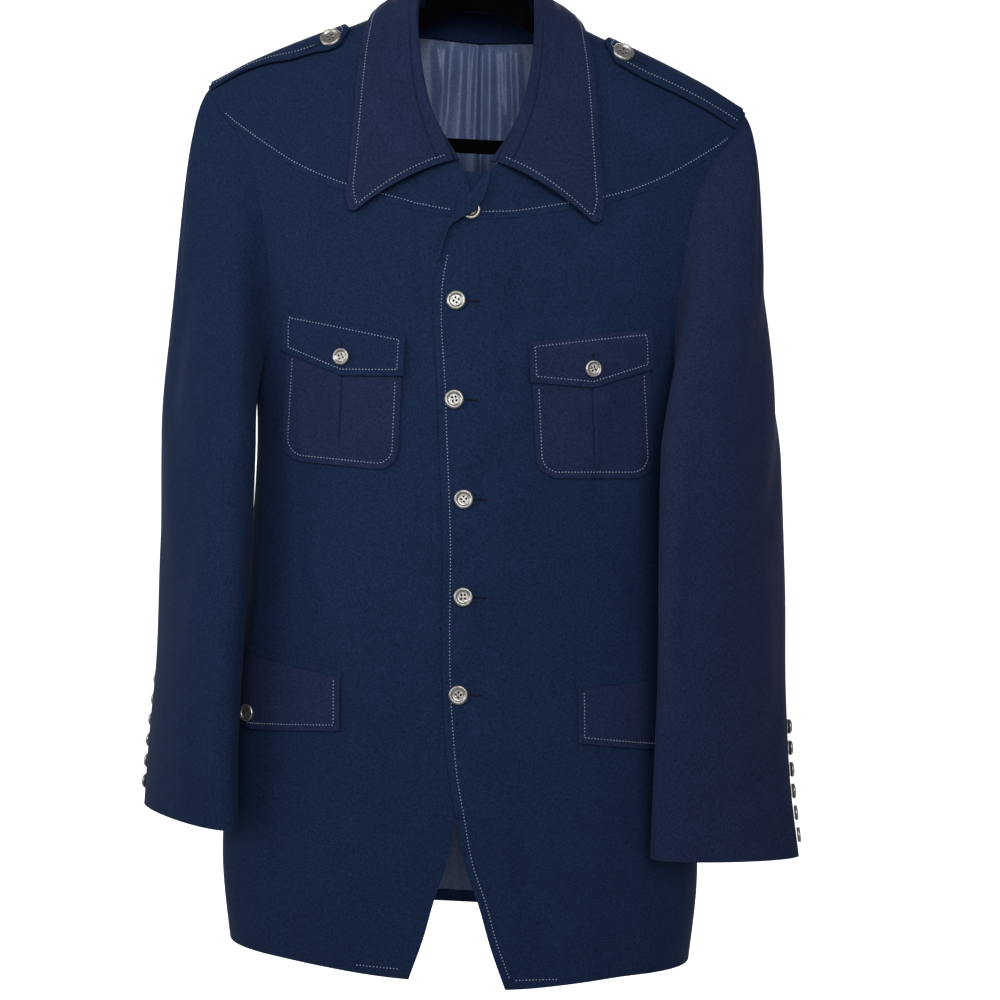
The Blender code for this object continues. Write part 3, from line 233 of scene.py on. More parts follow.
def creaseHeight(rows, a, b):      # each is a bell across its line, fading at both ends
    total = np.zeros(np.broadcast(a, b).shape)
    for a0, b0, a1, b1, width, height, bow in rows:
        da, db = a1 - a0, b1 - b0
        length = math.hypot(da, db)
        along = ((a - a0) * da + (b - b0) * db) / length ** 2
        away = ((a - a0) * db - (b - b0) * da) / length + bow * length * along * (1 - along)
        total = total + (height * np.exp(-(away / width) ** 2)
                         * ease(along, -0.2, 0.3) * (1 - ease(along, 0.7, 1.2)))
    return total


def softWaves(a, b):               # three slow sine waves, each under a third of a millimetre
    return 0.00028 * (np.sin(31 * a + 11 * b + 0.6) + np.sin(17 * a - 23 * b + 2.1)
                      + np.sin(47 * a + 5 * b + 4.0))


def torsoHeight(angle, z):         # creases of the front or back, gone at the sides and shoulders
    across = readRows(torsoRows, z, 1) * np.sin(angle)
    x = across + middleX(z)
    fade = (ease(np.abs(np.cos(angle)), 0.05, 0.35)
            * ease(shoulderZ(np.abs(across)) - z, 0.015, 0.07))
    front = creaseHeight(frontCreases, x, z)
    back = creaseHeight(backCreases, x, z)
    return fade * (np.where(np.cos(angle) > 0, front, back) + softWaves(x, z))


def placeOnBody(angle, z, side="", off=0.0):   # point and normal on the creased cloth, off above it
    angle = np.asarray(angle, float)
    z = np.asarray(z, float) + 0 * angle
    lift = 0.0
    if side == "left":
        x = readRows(torsoRows, z, 1) * np.sin(angle) + middleX(z)
        lift = frontLift(x) * (np.cos(angle) > 0)
    normal = torsoNormal(angle, z)
    height = (torsoHeight(angle, z) + off)[..., None]
    return hangDown(torso(angle, z, lift)) + normal * height, normal


def placeOnFront(x, z, side, off=0.0):
    return placeOnBody(angleFor(x - middleX(z), z), z, side, off)


def splineThrough(points, steps):  # Catmull-Rom between rows along the first axis
    points = np.asarray(points, float)
    ends = np.concatenate([2 * points[:1] - points[1:2], points, 2 * points[-1:] - points[-2:-1]])
    spot = np.linspace(0, len(points) - 1, (len(points) - 1) * steps + 1)
    low = np.minimum(spot.astype(int), len(points) - 2)
    t = (spot - low).reshape((-1,) + (1,) * (points.ndim - 1))
    p0, p1, p2, p3 = ends[low], ends[low + 1], ends[low + 2], ends[low + 3]
    return 0.5 * (2 * p1 + (p2 - p0) * t + (2 * p0 - 5 * p1 + 4 * p2 - p3) * t ** 2
                  + (3 * p1 - p0 - 3 * p2 + p3) * t ** 3)


def refineGrid(grid, down, across):
    rows = splineThrough(grid, down)
    return np.swapaxes(splineThrough(np.swapaxes(rows, 0, 1), across), 0, 1)


def gridNormals(grid, outward):    # cross product of the grid's two directions
    normal = np.cross(np.gradient(grid, axis=0), np.gradient(grid, axis=1))
    normal /= np.maximum(np.linalg.norm(normal, axis=-1, keepdims=True), 1e-12)
    return -normal if np.sum(normal * outward) < 0 else normal


def gridAt(grid, i, j):            # a place on a grid between its rows and columns
    i, j = np.clip(i, 0, len(grid) - 1.000001), np.clip(j, 0, grid.shape[1] - 1.000001)
    a, b = i.astype(int), j.astype(int)
    s, t = (i - a)[..., None], (j - b)[..., None]
    return ((grid[a, b] * (1 - t) + grid[a, b + 1] * t) * (1 - s)
            + (grid[a + 1, b] * (1 - t) + grid[a + 1, b + 1] * t) * s)


def drawnBack(grid, sides, gap):   # moves the named sides in along the cloth
    moved = grid.copy()
    pairs = {"top": (grid[1] - grid[0], (0, slice(None))),
             "inner": (grid[:, 1] - grid[:, 0], (slice(None), 0)),
             "outer": (grid[:, -2] - grid[:, -1], (slice(None), -1))}
    for side in sides:
        step, place = pairs[side]
        length = np.maximum(np.linalg.norm(step, axis=-1, keepdims=True), 1e-9)
        moved[place] += step / length * np.minimum(gap, 0.4 * length)
    return moved


# Meshes: a grid becomes two faces a wall apart, closed round its rim
def gridFaces(rows, columns, start=0, flip=False):
    index = np.arange(rows * columns).reshape(rows, columns) + start
    quads = np.stack([index[:-1, :-1], index[:-1, 1:], index[1:, 1:], index[1:, :-1]], -1)
    quads = quads.reshape(-1, 4)
    return quads[:, ::-1] if flip else quads


def makeMesh(name, points, faces, materials, uv=None, sharp=None):
    mesh = bpy.data.meshes.new(name)
    mesh.from_pydata(points.tolist(), [], [f for f in faces])
    if uv is not None:             # metres along the cloth, per point
        layer = mesh.uv_layers.new(name="clothMap")
        corner = np.empty(len(mesh.loops), int)
        mesh.loops.foreach_get("vertex_index", corner)
        layer.data.foreach_set("uv", uv[corner].ravel().astype(np.float32))
    for material in materials:
        mesh.materials.append(material)
    mesh.shade_smooth()
    if sharp is not None:
        mesh.set_sharp_from_angle(angle=math.radians(sharp))
    piece = bpy.data.objects.new(name, mesh)
    bpy.context.scene.collection.objects.link(piece)
    return piece


def arcMap(grid):                  # distance across from the middle column, and down
    across = np.linalg.norm(np.diff(grid, axis=1), axis=-1)
    down = np.linalg.norm(np.diff(grid, axis=0), axis=-1)
    u = np.concatenate([np.zeros((len(grid), 1)), np.cumsum(across, axis=1)], axis=1)
    v = np.concatenate([np.zeros((1, grid.shape[1])), np.cumsum(down, axis=0)], axis=0)
    u = u - u[:, u.shape[1] // 2][:, None]
    return np.stack([u, -v], -1)


def settle(piece, nodes=()):
    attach(piece, "root")
    if nodes:
        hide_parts(*nodes)
    return piece


def clothPiece(node, outer, normal, wall, cloth="navy", replaced=True):
    # outer grid, and an inner grid moved in by the wall; the rim joins them
    rows, columns = outer.shape[:2]
    count = rows * columns
    inner = outer - normal * wall
    i, j = rows // 2, columns // 2
    facing = np.cross(outer[i + 1, j] - outer[i, j], outer[i, j + 1] - outer[i, j])
    outward = float(facing @ normal[i, j]) > 0
    top = gridFaces(rows, columns, 0, flip=outward)
    low = gridFaces(rows, columns, count, flip=not outward)
    index = np.arange(count).reshape(rows, columns)
    rim = np.concatenate([index[0], index[1:, -1], index[-1, -2::-1], index[-2:0:-1, 0]])
    after = np.roll(rim, -1)
    side = np.stack([rim, after, after + count, rim + count], -1)
    if not outward:
        side = side[:, ::-1]
    uv = arcMap(outer).reshape(-1, 2)
    points = np.concatenate([outer.reshape(-1, 3), inner.reshape(-1, 3)])
    faces = np.concatenate([top, low, side]).tolist()
    piece = makeMesh(node + "_cloth", points, faces, [paint[cloth]], np.concatenate([uv, uv]), 60)
    settle(piece, [node] if replaced else ())


# Finishes
def nodeSet(name):
    material = bpy.data.materials.new(name)
    material.use_nodes = True
    tree = material.node_tree
    return material, tree, tree.nodes["Principled BSDF"]


def newNode(tree, kind, **values):
    made = tree.nodes.new(kind)
    for key, value in values.items():
        if hasattr(made, key):
            setattr(made, key, value)
        else:
            made.inputs[key.replace("_", " ")].default_value = value
    return made


def mathNode(tree, operation, *values):   # each value is a number or a socket
    made = newNode(tree, "ShaderNodeMath", operation=operation)
    for socket, value in zip(made.inputs, values):
        if isinstance(value, float):
            socket.default_value = value
        else:
            tree.links.new(value, socket)
    return made.outputs[0]


def noiseOn(tree, scale, detail, roughness):
    where = newNode(tree, "ShaderNodeTexCoord")
    noise = newNode(tree, "ShaderNodeTexNoise", Scale=scale, Detail=detail, Roughness=roughness)
    tree.links.new(where.outputs["Object"], noise.inputs["Vector"])
    return noise.outputs["Fac"]


def colourRamp(tree, source, low, lowColour, high, highColour):
    ramp = newNode(tree, "ShaderNodeValToRGB")
    ends = ((low, lowColour), (high, highColour))
    for element, (place, colour) in zip(ramp.color_ramp.elements, ends):
        element.position, element.color = place, (*colour, 1)
    tree.links.new(source, ramp.inputs["Fac"])
    return ramp.outputs["Color"]


def spanOf(tree, source, **limits):
    span = newNode(tree, "ShaderNodeMapRange", **limits)
    tree.links.new(source, span.inputs["Value"])
    return span.outputs["Result"]


def roughen(tree, shader, source, strength, distance):
    bump = newNode(tree, "ShaderNodeBump", Strength=strength, Distance=distance)
    tree.links.new(source, bump.inputs["Height"])
    tree.links.new(bump.outputs["Normal"], shader.inputs["Normal"])


def wovenCloth(name, finish):      # two crossing thread waves on the cloth map, and slow mottling
    material, tree, shader = nodeSet(name)
    link = tree.links.new
    uv = newNode(tree, "ShaderNodeUVMap", uv_map="clothMap")
    waves = []
    for turn, pitch in finish["threads"]:
        mapping = newNode(tree, "ShaderNodeMapping")
        mapping.inputs["Rotation"].default_value = (0, 0, math.radians(turn))
        link(uv.outputs["UV"], mapping.inputs["Vector"])
        wave = newNode(tree, "ShaderNodeTexWave", wave_type="BANDS", bands_direction="X",
                       Scale=0.314 / pitch, Distortion=0.6, Detail=1.0, Detail_Scale=1.5)
        link(mapping.outputs["Vector"], wave.inputs["Vector"])
        waves.append(wave.outputs["Fac"])
    second = mathNode(tree, "MULTIPLY", waves[1], 0.17)
    weave = mathNode(tree, "MULTIPLY_ADD", waves[0], 0.33, second)
    fuzz = noiseOn(tree, finish["fuzz"], 3.0, 0.7)
    grain = mathNode(tree, "MULTIPLY_ADD", fuzz, finish["grain"], weave)
    slow = noiseOn(tree, finish["mottle"], 5.0, 0.62)
    tone = newNode(tree, "ShaderNodeHueSaturation")
    link(spanOf(tree, slow, From_Min=0.3, From_Max=0.7, To_Min=1 - finish["uneven"],
                To_Max=1 + finish["uneven"]), tone.inputs["Value"])
    link(colourRamp(tree, grain, 0.58, finish["dark"], 1.0, finish["light"]), tone.inputs["Color"])
    link(tone.outputs["Color"], shader.inputs["Base Color"])
    roughen(tree, shader, grain, finish["relief"], 0.00025)
    looks = {"Roughness": finish["roughness"], "Specular IOR Level": finish["gloss"],
             "Sheen Weight": finish["sheen"], "Sheen Roughness": 0.45,
             "Sheen Tint": (*finish["nap"], 1)}
    for socket, value in looks.items():
        shader.inputs[socket].default_value = value
    return material


def metalFinish(name, finish):     # small scratches and tarnish in the hollows
    material, tree, shader = nodeSet(name)
    link = tree.links.new
    spots = noiseOn(tree, finish["spots"], 6.0, 0.65)
    link(colourRamp(tree, spots, 0.32, finish["tarnish"], 0.66, finish["colour"]),
         shader.inputs["Base Color"])
    link(spanOf(tree, spots, To_Min=finish["roughness"] + 0.12, To_Max=finish["roughness"] - 0.06),
         shader.inputs["Roughness"])
    roughen(tree, shader, spots, 0.15, 0.0001)
    shader.inputs["Metallic"].default_value = finish["metal"]
    return material


sewn = {"threads": ((45, 0.0004), (-45, 0.0004)), "mottle": 60.0, "fuzz": 3000.0, "grain": 0.8,
        "uneven": 0.15, "relief": 0.3, "sheen": 0.1}
twill = {"mottle": 26.0, "fuzz": 620.0, "grain": 1.1, "uneven": 0.08, "relief": 0.55, "gloss": 0.09}
clothFinishes = {
    "navy": {**twill, "dark": (0.0036, 0.0105, 0.035), "light": (0.0150, 0.0320, 0.088),
             "threads": ((27, 0.00085), (-63, 0.0011)), "roughness": 0.85, "sheen": 0.05,
             "nap": (0.45, 0.55, 0.85)},
    "navyRaised": {**twill, "dark": (0.0056, 0.0105, 0.035), "light": (0.0215, 0.0330, 0.089),
                   "threads": ((-58, 0.00085), (32, 0.0011)), "mottle": 30.0, "roughness": 0.84,
                   "sheen": 0.06, "nap": (0.55, 0.55, 0.85)},
    "lining": {"dark": (0.036, 0.058, 0.135), "light": (0.150, 0.210, 0.400),
               "threads": ((38, 0.0016), (-52, 0.0008)), "mottle": 34.0, "fuzz": 900.0,
               "grain": 1.0, "uneven": 0.12, "relief": 0.45, "roughness": 0.42, "gloss": 0.45,
               "sheen": 0.10, "nap": (0.7, 0.8, 1.0)},
    "thread": {**sewn, "dark": (0.26, 0.31, 0.45), "light": (0.56, 0.62, 0.78), "roughness": 0.6,
               "gloss": 0.3, "nap": (0.7, 0.8, 1.0)},
    "darkThread": {**sewn, "dark": (0.003, 0.006, 0.020), "light": (0.010, 0.016, 0.045),
                   "roughness": 0.7, "gloss": 0.2, "nap": (0.5, 0.6, 0.9)},
    "flock": {"dark": (0.0012, 0.0013, 0.0020), "light": (0.0085, 0.0088, 0.011),
              "threads": ((12, 0.0009), (71, 0.0007)), "mottle": 50.0, "fuzz": 1400.0, "grain": 0.9,
              "uneven": 0.2, "relief": 0.8, "roughness": 0.97, "gloss": 0.03, "sheen": 0.06,
              "nap": (0.35, 0.36, 0.4)},
}
metalFinishes = {
    "pewter": {"colour": (0.58, 0.565, 0.54), "tarnish": (0.26, 0.25, 0.235), "spots": 420.0,
               "roughness": 0.34, "metal": 0.92},
    "steel": {"colour": (0.62, 0.62, 0.63), "tarnish": (0.40, 0.40, 0.41), "spots": 160.0,
              "roughness": 0.20, "metal": 1.0},
    "hole": {"colour": (0.010, 0.012, 0.020), "tarnish": (0.004, 0.005, 0.008), "spots": 300.0,
             "roughness": 0.75, "metal": 0.0},
}
paint = {name: wovenCloth(name, finish) for name, finish in clothFinishes.items()}
paint.update({name: metalFinish(name, finish) for name, finish in metalFinishes.items()})
print("finishes ready")


# Body panels, each a four-sided patch of angle and height blended from its sides
panelSteps = {"arm": 10, "side": 9, "columns": 11, "yoke": 6, "yokeCrowd": 1.8, "backCrowd": 1.5,
              "finer": 6, "yokeLap": 0.0006, "pressedSeam": 0.0005}


def oneSide(angle, sign):
    turned = np.mod(angle, 2 * math.pi)
    return turned if sign > 0 else turned - 2 * math.pi


def fillBetween(top, bottom, inner, outer, down):
    u = np.linspace(0, 1, len(top))[None, :, None]
    v = np.asarray(down)[:, None, None]
    corners = ((1 - v) * ((1 - u) * top[0] + u * top[-1])
               + v * ((1 - u) * bottom[0] + u * bottom[-1]))
    return ((1 - v) * top[None] + v * bottom[None]
            + (1 - u) * inner[:, None] + u * outer[:, None] - corners)


def armholeLine(sign, behind):
    z = np.linspace(yokeRows[-1, 1], armholeRows[-1, 0], panelSteps["arm"] - 1)
    angle = angleFor(sign * readRows(armholeRows, z, 2 if behind else 1), z, behind)
    if behind:
        angle = oneSide(angle, sign)
    line = np.stack([angle, z], -1)
    under = np.array((sign * math.pi / 2, garment["underarmZ"]))
    turn = line[-1] + (under - line[-1]) * np.array((0.55, 0.80))
    return np.concatenate([line, turn[None], under[None]])


def sideLine(sign):
    z = np.linspace(garment["underarmZ"], garment["hemZ"], panelSteps["side"] + 1)
    return np.stack([np.full(len(z), sign * math.pi / 2), z], -1)


def frontEdge(sign, z):
    x = garment["frontX"] - sign * readRows(edgeRows, z, 1 if sign < 0 else 2)
    return np.stack([angleFor(x - middleX(z), z), z], -1)


def frontDomain(sign):
    r = np.linspace(0, 1, panelSteps["columns"] + 1)
    edge = frontEdge(sign, np.array([-0.300]))[0]
    start = np.sin(edge[0]) * readRows(torsoRows, edge[1], 1) * sign
    across = start + (yokeRows[-1, 0] - start) * r
    seamZ = readRows(yokeRows, np.abs(across), 1)
    seam = np.stack([angleFor(sign * across, seamZ), seamZ], -1)
    outer = np.concatenate([armholeLine(sign, False), sideLine(sign)[1:]])
    outer[0] = seam[-1]
    rows = len(outer)
    corner = garment["cornerDrop"] * (1.0 if sign > 0 else 0.5)
    even = np.linspace(0, 1, rows)
    inner = frontEdge(sign, seamZ[0] + (garment["hemZ"] - corner - seamZ[0]) * even)
    inner[0] = seam[0]
    hemAngle = inner[-1, 0] + (outer[-1, 0] - inner[-1, 0]) * r
    hem = np.stack([hemAngle, garment["hemZ"] - corner * (1 - ease(r, 0.0, 0.45))], -1)
    return seam, fillBetween(seam, hem, inner, outer, even)


def alongLine(points, spread):     # points at shares of an outline's length
    points = np.array(points, float)
    length = runLength(points)
    return np.stack([np.interp(spread * length[-1], length, points[:, k])
                     for k in range(points.shape[1])], -1)


def shoulderLine(sign, count, behind=False):
    r = np.linspace(garment["neckHalf"], garment["tipHalf"], count)
    z = shoulderZ(r)
    return np.stack([angleFor(sign * r, z, behind), z], -1)


def armholeTop(sign, tip, share, behind=False):   # from the shoulder's tip to the yoke seam
    z = tip[1] + (yokeRows[-1, 1] - tip[1]) * share
    r = np.interp(-z, -armholeRows[:, 0], armholeRows[:, 2 if behind else 1])
    line = np.stack([angleFor(sign * r, z, behind), z], -1)
    line[0] = tip
    return line


def yokeDomain(sign, seam):
    ridge = shoulderLine(sign, len(seam))
    down = np.linspace(0, 1, panelSteps["yoke"] + 1) ** panelSteps["yokeCrowd"]
    arm = armholeTop(sign, ridge[-1], down)
    arm[-1] = seam[-1]
    edgeZ = np.linspace(garment["neckFrontZ"], seam[0, 1], 4)
    edge = frontEdge(sign, edgeZ)
    edgeR = sign * np.sin(edge[:, 0]) * readRows(torsoRows, edgeZ, 1)
    neck = neckRows[:, ::-1].copy()
    neck[0] = (garment["neckHalf"], ridge[0, 1])
    neck[-1] = (0.5 * (0.018 + edgeR[0]), garment["neckFrontZ"] + 0.001)
    line = alongLine(np.concatenate([neck, np.stack([edgeR, edgeZ], -1)]), down)
    inner = np.stack([angleFor(sign * line[:, 0], line[:, 1]), line[:, 1]], -1)
    return fillBetween(ridge, seam, inner, arm, down)


def backDomain(sign):
    ridge = shoulderLine(sign, panelSteps["columns"] + 1, True)
    quarter = np.linspace(0, 1, 4)[:-1] * math.pi / 2
    neckZ = shoulderZ(garment["neckHalf"]) + 0.005 * np.cos(quarter)
    neckR = garment["neckHalf"] * np.sin(quarter)
    neck = np.stack([angleFor(sign * neckR, neckZ, True), neckZ], -1)
    top = np.concatenate([neck, ridge])
    share = np.linspace(0, 1, panelSteps["yoke"] + 1)[:-1] ** panelSteps["yokeCrowd"]
    upper = armholeTop(sign, ridge[-1], share, True)
    outer = np.concatenate([upper, armholeLine(sign, True), sideLine(sign)[1:]])
    rows = len(outer)
    down = np.linspace(0, 1, rows) ** panelSteps["backCrowd"]
    innerZ = neckZ[0] + (garment["backHemZ"] - neckZ[0]) * down
    inner = np.stack([np.full(rows, sign * math.pi), innerZ], -1)
    top[:, 0] = oneSide(top[:, 0], sign)
    outer[:, 0] = oneSide(outer[:, 0], sign)
    u = np.linspace(0, 1, len(top))
    hemZ = garment["backHemZ"] + (garment["hemZ"] - garment["backHemZ"]) * ease(u, 0.55, 1.0)
    hem = np.stack([inner[-1, 0] + (outer[-1, 0] - inner[-1, 0]) * u, hemZ], -1)
    return fillBetween(top, hem, inner, outer, down)


coarse = {}
for side in bothSides:
    yokeSeam, coarse["front_" + side] = frontDomain(signOf(side))
    coarse["yoke_front_" + side] = yokeDomain(signOf(side), yokeSeam)
    coarse["back_" + side] = backDomain(signOf(side))


def bodyPanel(name, domain):
    finer = panelSteps["finer"]
    fine = refineGrid(domain, finer, finer)
    behind = name.startswith("back")
    side = name.split("_")[-1]
    off = np.zeros(fine.shape[:2])
    if name.startswith("yoke"):    # the yoke is lapped over the front
        off += panelSteps["yokeLap"] * ease(np.linspace(0, 1, len(fine)), 0.6, 1.0)[:, None]
    else:                          # the side seam, and the centre back seam, are pressed in
        off[len(fine) // 2:, -1] -= panelSteps["pressedSeam"]
        if behind:
            off[:, 0] -= panelSteps["pressedSeam"]
    points, normals = placeOnBody(fine[..., 0], fine[..., 1], "" if behind else side, off)
    points = drawnBack(points, ["top", "outer", "inner"], garment["seamGap"])
    clothPiece(name, points, normals, garment["cloth"])


for name, domain in coarse.items():
    bodyPanel(name, domain)


# Sleeves, an oval a row: height, middle x and y, half width, half thickness, turn in degrees
sleeveRows = {
    "right": np.array((
        (-0.400, -0.2325, -0.008, 0.074, 0.0350, 59.0),
        (-0.500, -0.2355, -0.014, 0.076, 0.0310, 56.0),
        (-0.600, -0.2385, -0.018, 0.075, 0.0295, 55.0),
        (-0.700, -0.2415, -0.024, 0.074, 0.0270, 56.0),
        (-0.780, -0.2465, -0.029, 0.073, 0.0240, 52.0),
        (-0.830, -0.2480, -0.031, 0.073, 0.0220, 49.0))),
    "left": np.array((
        (-0.400, 0.2190, -0.041, 0.0720, 0.036, 50.0),
        (-0.500, 0.2200, -0.046, 0.0750, 0.031, 44.0),
        (-0.600, 0.2200, -0.048, 0.0760, 0.028, 40.0),
        (-0.700, 0.2190, -0.050, 0.0750, 0.026, 37.0),
        (-0.780, 0.2190, -0.054, 0.0710, 0.023, 27.0),
        (-0.838, 0.2205, -0.056, 0.0705, 0.020, 18.0))),
}
sleeve = {"finer": 4, "capRows": 36, "tubeRows": 48, "tubeTop": -0.500, "frontSeam": 4,
          "hindSeam": 9, "metresPerDegree": 0.00105, "start": -0.0018, "pressedSeam": 0.0005,
          "waves": 1.5, "crowd": 1.25}


def sleeveGrid(side):              # a soft curve from the armhole to the first oval, then the ovals
    sign = signOf(side)
    steps = panelSteps["arm"] + panelSteps["yoke"]
    loop = np.concatenate([coarse["front_" + side][:panelSteps["arm"] + 1, -1][::-1],
                           coarse["yoke_front_" + side][:, -1][::-1][1:],
                           coarse["back_" + side][1:steps + 1, -1]])
    rough = torso(loop[:, 0], loop[:, 1])
    half = len(rough) // 2
    length = runLength(rough)
    place = np.arange(len(rough))
    front = 0.5 * length[:half + 1] / length[half] + 0.5 * place[:half + 1] / half
    back = (0.5 * (length[half:] - length[half]) / (length[-1] - length[half])
            + 0.5 * (place[half:] - half) / half)
    degrees = np.concatenate([-90 + 180 * front, 90 + 180 * back[1:]])
    finer = sleeve["finer"]
    armhole = splineThrough(rough, finer)
    bodyOut = unit(splineThrough(torsoNormal(loop[:, 0], loop[:, 1]), finer))
    degrees = splineThrough(degrees, finer)
    psi = np.radians(degrees)
    rows = sleeveRows[side]

    def ring(z):
        turn = math.radians(readRows(rows, z, 5))
        wide = np.array((-sign * math.cos(turn), -math.sin(turn)))
        out = np.array((sign * math.sin(turn), -math.cos(turn)))
        flat = (np.array((readRows(rows, z, 1), readRows(rows, z, 2)))
                + readRows(rows, z, 3) * np.cos(psi)[:, None] * wide
                + readRows(rows, z, 4) * np.sin(psi)[:, None] * out)
        return np.concatenate([flat, np.full((len(psi), 1), z)], axis=1)

    first = ring(sleeve["tubeTop"])
    height = ease(armhole[:, 2], garment["underarmZ"], rough[half, 2])
    outward = 0.30 + 0.60 * ease(height, 0.0, 0.25) - 0.08 * height
    down = 0.95 - 0.50 * ease(height, 0.0, 0.25) + 0.14 * height
    forward = -0.35 * np.cos(psi) * ease(height, 0.02, 0.3) * (1 - height)
    leave = unit(np.stack([sign * outward, forward, -down], -1))
    reach = (0.030 + 0.025 * ease(height, 0.0, 0.4) + 0.050 * height ** 2)[:, None]
    arrive = np.zeros_like(first)
    arrive[:, 2] = -0.8 * (armhole[:, 2] - first[:, 2])
    start = armhole + (leave + bodyOut) * sleeve["start"]
    t = (np.linspace(0, 1, sleeve["capRows"] + 1) ** sleeve["crowd"])[:, None, None]
    cap = ((2 * t ** 3 - 3 * t ** 2 + 1) * start + (t ** 3 - 2 * t ** 2 + t) * (leave * reach)
           + (3 * t ** 2 - 2 * t ** 3) * first + (t ** 3 - t ** 2) * arrive)
    tubeZ = np.linspace(sleeve["tubeTop"], rows[-1, 0], sleeve["tubeRows"] + 1)[1:]
    grid = hangDown(np.concatenate([cap, np.array([ring(z) for z in tubeZ])]))
    wrapped = np.concatenate([grid[:, -2:-1], grid, grid[:, 1:2]], axis=1)
    normal = gridNormals(wrapped, wrapped - wrapped.mean(axis=1, keepdims=True))[:, 1:-1]
    normal[:, -1] = normal[:, 0]
    lean = np.maximum(np.sum(normal[0] * bodyOut, axis=-1, keepdims=True), 0.0)
    normal[0] = unit(normal[0] + 4.0 * lean * bodyOut)
    scale = sleeve["metresPerDegree"]
    creases = [(a0 * scale, b0, a1 * scale, *rest) for a0, b0, a1, *rest in sleeveCreases[side]]
    around = np.broadcast_to(degrees * scale, grid.shape[:2])
    fade = ease(np.linspace(0, 1, len(grid)), 0.02, 0.16)[:, None]
    bumps = (creaseHeight(creases, around, grid[..., 2])
             + sleeve["waves"] * softWaves(around, grid[..., 2]))
    seams = np.zeros(grid.shape[:2])
    for column in (sleeve["frontSeam"] * finer, (half + sleeve["hindSeam"]) * finer):
        seams[:, column] = -sleeve["pressedSeam"]
    edges = ease(degrees, -90, -60) * (1 - ease(degrees, 240, 270))
    grid = grid + normal * (fade * (bumps * edges + seams))[..., None]
    return grid, normal, half


sleeveShapes = {side: sleeveGrid(side) for side in bothSides}
for side, (grid, normal, half) in sleeveShapes.items():
    finer = sleeve["finer"]
    frontSeam, hindSeam = sleeve["frontSeam"] * finer, (half + sleeve["hindSeam"]) * finer
    cloth = "navy" if side == "right" else "navyRaised"
    columns = {"top_sleeve_": np.arange(frontSeam, hindSeam + 1),
               "under_sleeve_": np.r_[hindSeam:grid.shape[1], 1:frontSeam + 1]}
    for name, part in columns.items():
        points, out = grid[:, part], normal[:, part]
        points = drawnBack(points, ["inner", "outer"], garment["seamGap"])
        clothPiece(name + side, points, out, garment["cloth"], cloth)
print("sleeves set in")


# Collar, from the centre back to the front end: roll (distance, depth, height), edge (distance,
# height), foot (distance, height), and 1 on the back, 0 on the shoulder, -1 on the front
collarRows = np.array((
    (0.0000, 0.0380, -0.0480, 0.0000, -0.1120, 0.0000, -0.0885, 1),
    (0.0200, 0.0350, -0.0490, 0.0320, -0.1125, 0.0240, -0.0888, 1),
    (0.0370, 0.0260, -0.0560, 0.0600, -0.1125, 0.0430, -0.0900, 1),
    (0.0460, 0.0150, -0.0670, 0.0780, -0.1070, 0.0530, -0.0905, 1),
    (0.0500, 0.0040, -0.0800, 0.0905, -0.1015, 0.0650, -0.0975, 0),
    (0.0520, -0.0080, -0.0940, 0.0970, -0.1180, 0.0682, -0.1120, -1),
    (0.0525, -0.0200, -0.1120, 0.1010, -0.1420, 0.0668, -0.1280, -1),
    (0.0515, -0.0320, -0.1330, 0.1035, -0.1670, 0.0640, -0.1470, -1),
    (0.0490, -0.0450, -0.1580, 0.1055, -0.1960, 0.0585, -0.1690, -1),
    (0.0440, -0.0560, -0.1870, 0.1075, -0.2300, 0.0500, -0.1940, -1),
    (0.0360, -0.0645, -0.2100, 0.1095, -0.2600, 0.0365, -0.2150, -1),
    (0.0270, -0.0710, -0.2310, 0.1110, -0.2860, 0.0245, -0.2330, -1),
    (0.0185, -0.0745, -0.2500, 0.1060, -0.2990, 0.0140, -0.2495, -1)))
collar = {"across": 6, "lift": 0.0030, "leftLift": 0.0022, "rise": 0.0055, "round": 0.0040,
          "foldGap": 0.0005, "wall": 0.0016, "finerDown": 6, "finerAcross": 5, "tipRadius": 0.006,
          "rollAt": 0.13, "rollDeep": 0.0014, "rollHalf": 0.32, "middle": (0.005, -0.01, -0.25)}


def torsoDepth(across, z, behind):
    return torso(angleFor(across, z, behind), z)[..., 1]


def clearOfBody(line, lift):       # points too near the torso move straight out of it
    r, y, z = line[:, 0], line[:, 1], line[:, 2]
    frontY, backY = torsoDepth(r, z, False) - lift, torsoDepth(r, z, True) + lift
    facing = np.sqrt(1 - np.clip(r / readRows(torsoRows, z, 1), 0, 0.99) ** 2)
    depth = np.where(y > 0, readRows(torsoRows, z, 3), readRows(torsoRows, z, 2))
    full = np.clip((y / (shoulder["fill"] * depth * facing)) ** 2, 0.0, 0.95)
    leastZ = shoulderZ(r) - shoulder["fillDrop"] * full / (1 - full) + lift * 1.1
    pushed = np.where(y > 0, np.maximum(y, backY), np.minimum(y, frontY))
    low, nearTop = z < leastZ, np.abs(y) < 0.016
    line[:, 2] = np.where(low & nearTop, leastZ, z)
    line[:, 1] = np.where(low & ~nearTop, pushed, y)
    return line


def collarSide(sign):              # straight from roll to edge, rounded out in the middle
    t = np.linspace(0, 1, collar["across"] + 1)
    lift = collar["lift"] + collar["wall"]
    grid = []
    for r, y, z, edgeR, edgeZ, _, _, place in collarRows:
        edgeY = float(torsoDepth(edgeR, edgeZ, place > 0)) + place * lift if place else 0.0
        start, end = np.array((r, y, z)), np.array((edgeR, edgeY, edgeZ))
        line = start + (end - start) * t[:, None]
        rise = 4 * t * (1 - t)
        line[:, 2] += collar["rise"] * rise
        line[:, 1] += place * collar["round"] * rise
        grid.append(clearOfBody(line, lift))
    grid = np.array(grid)
    grid[..., 0] = middleX(grid[..., 2]) + sign * grid[..., 0]
    return grid


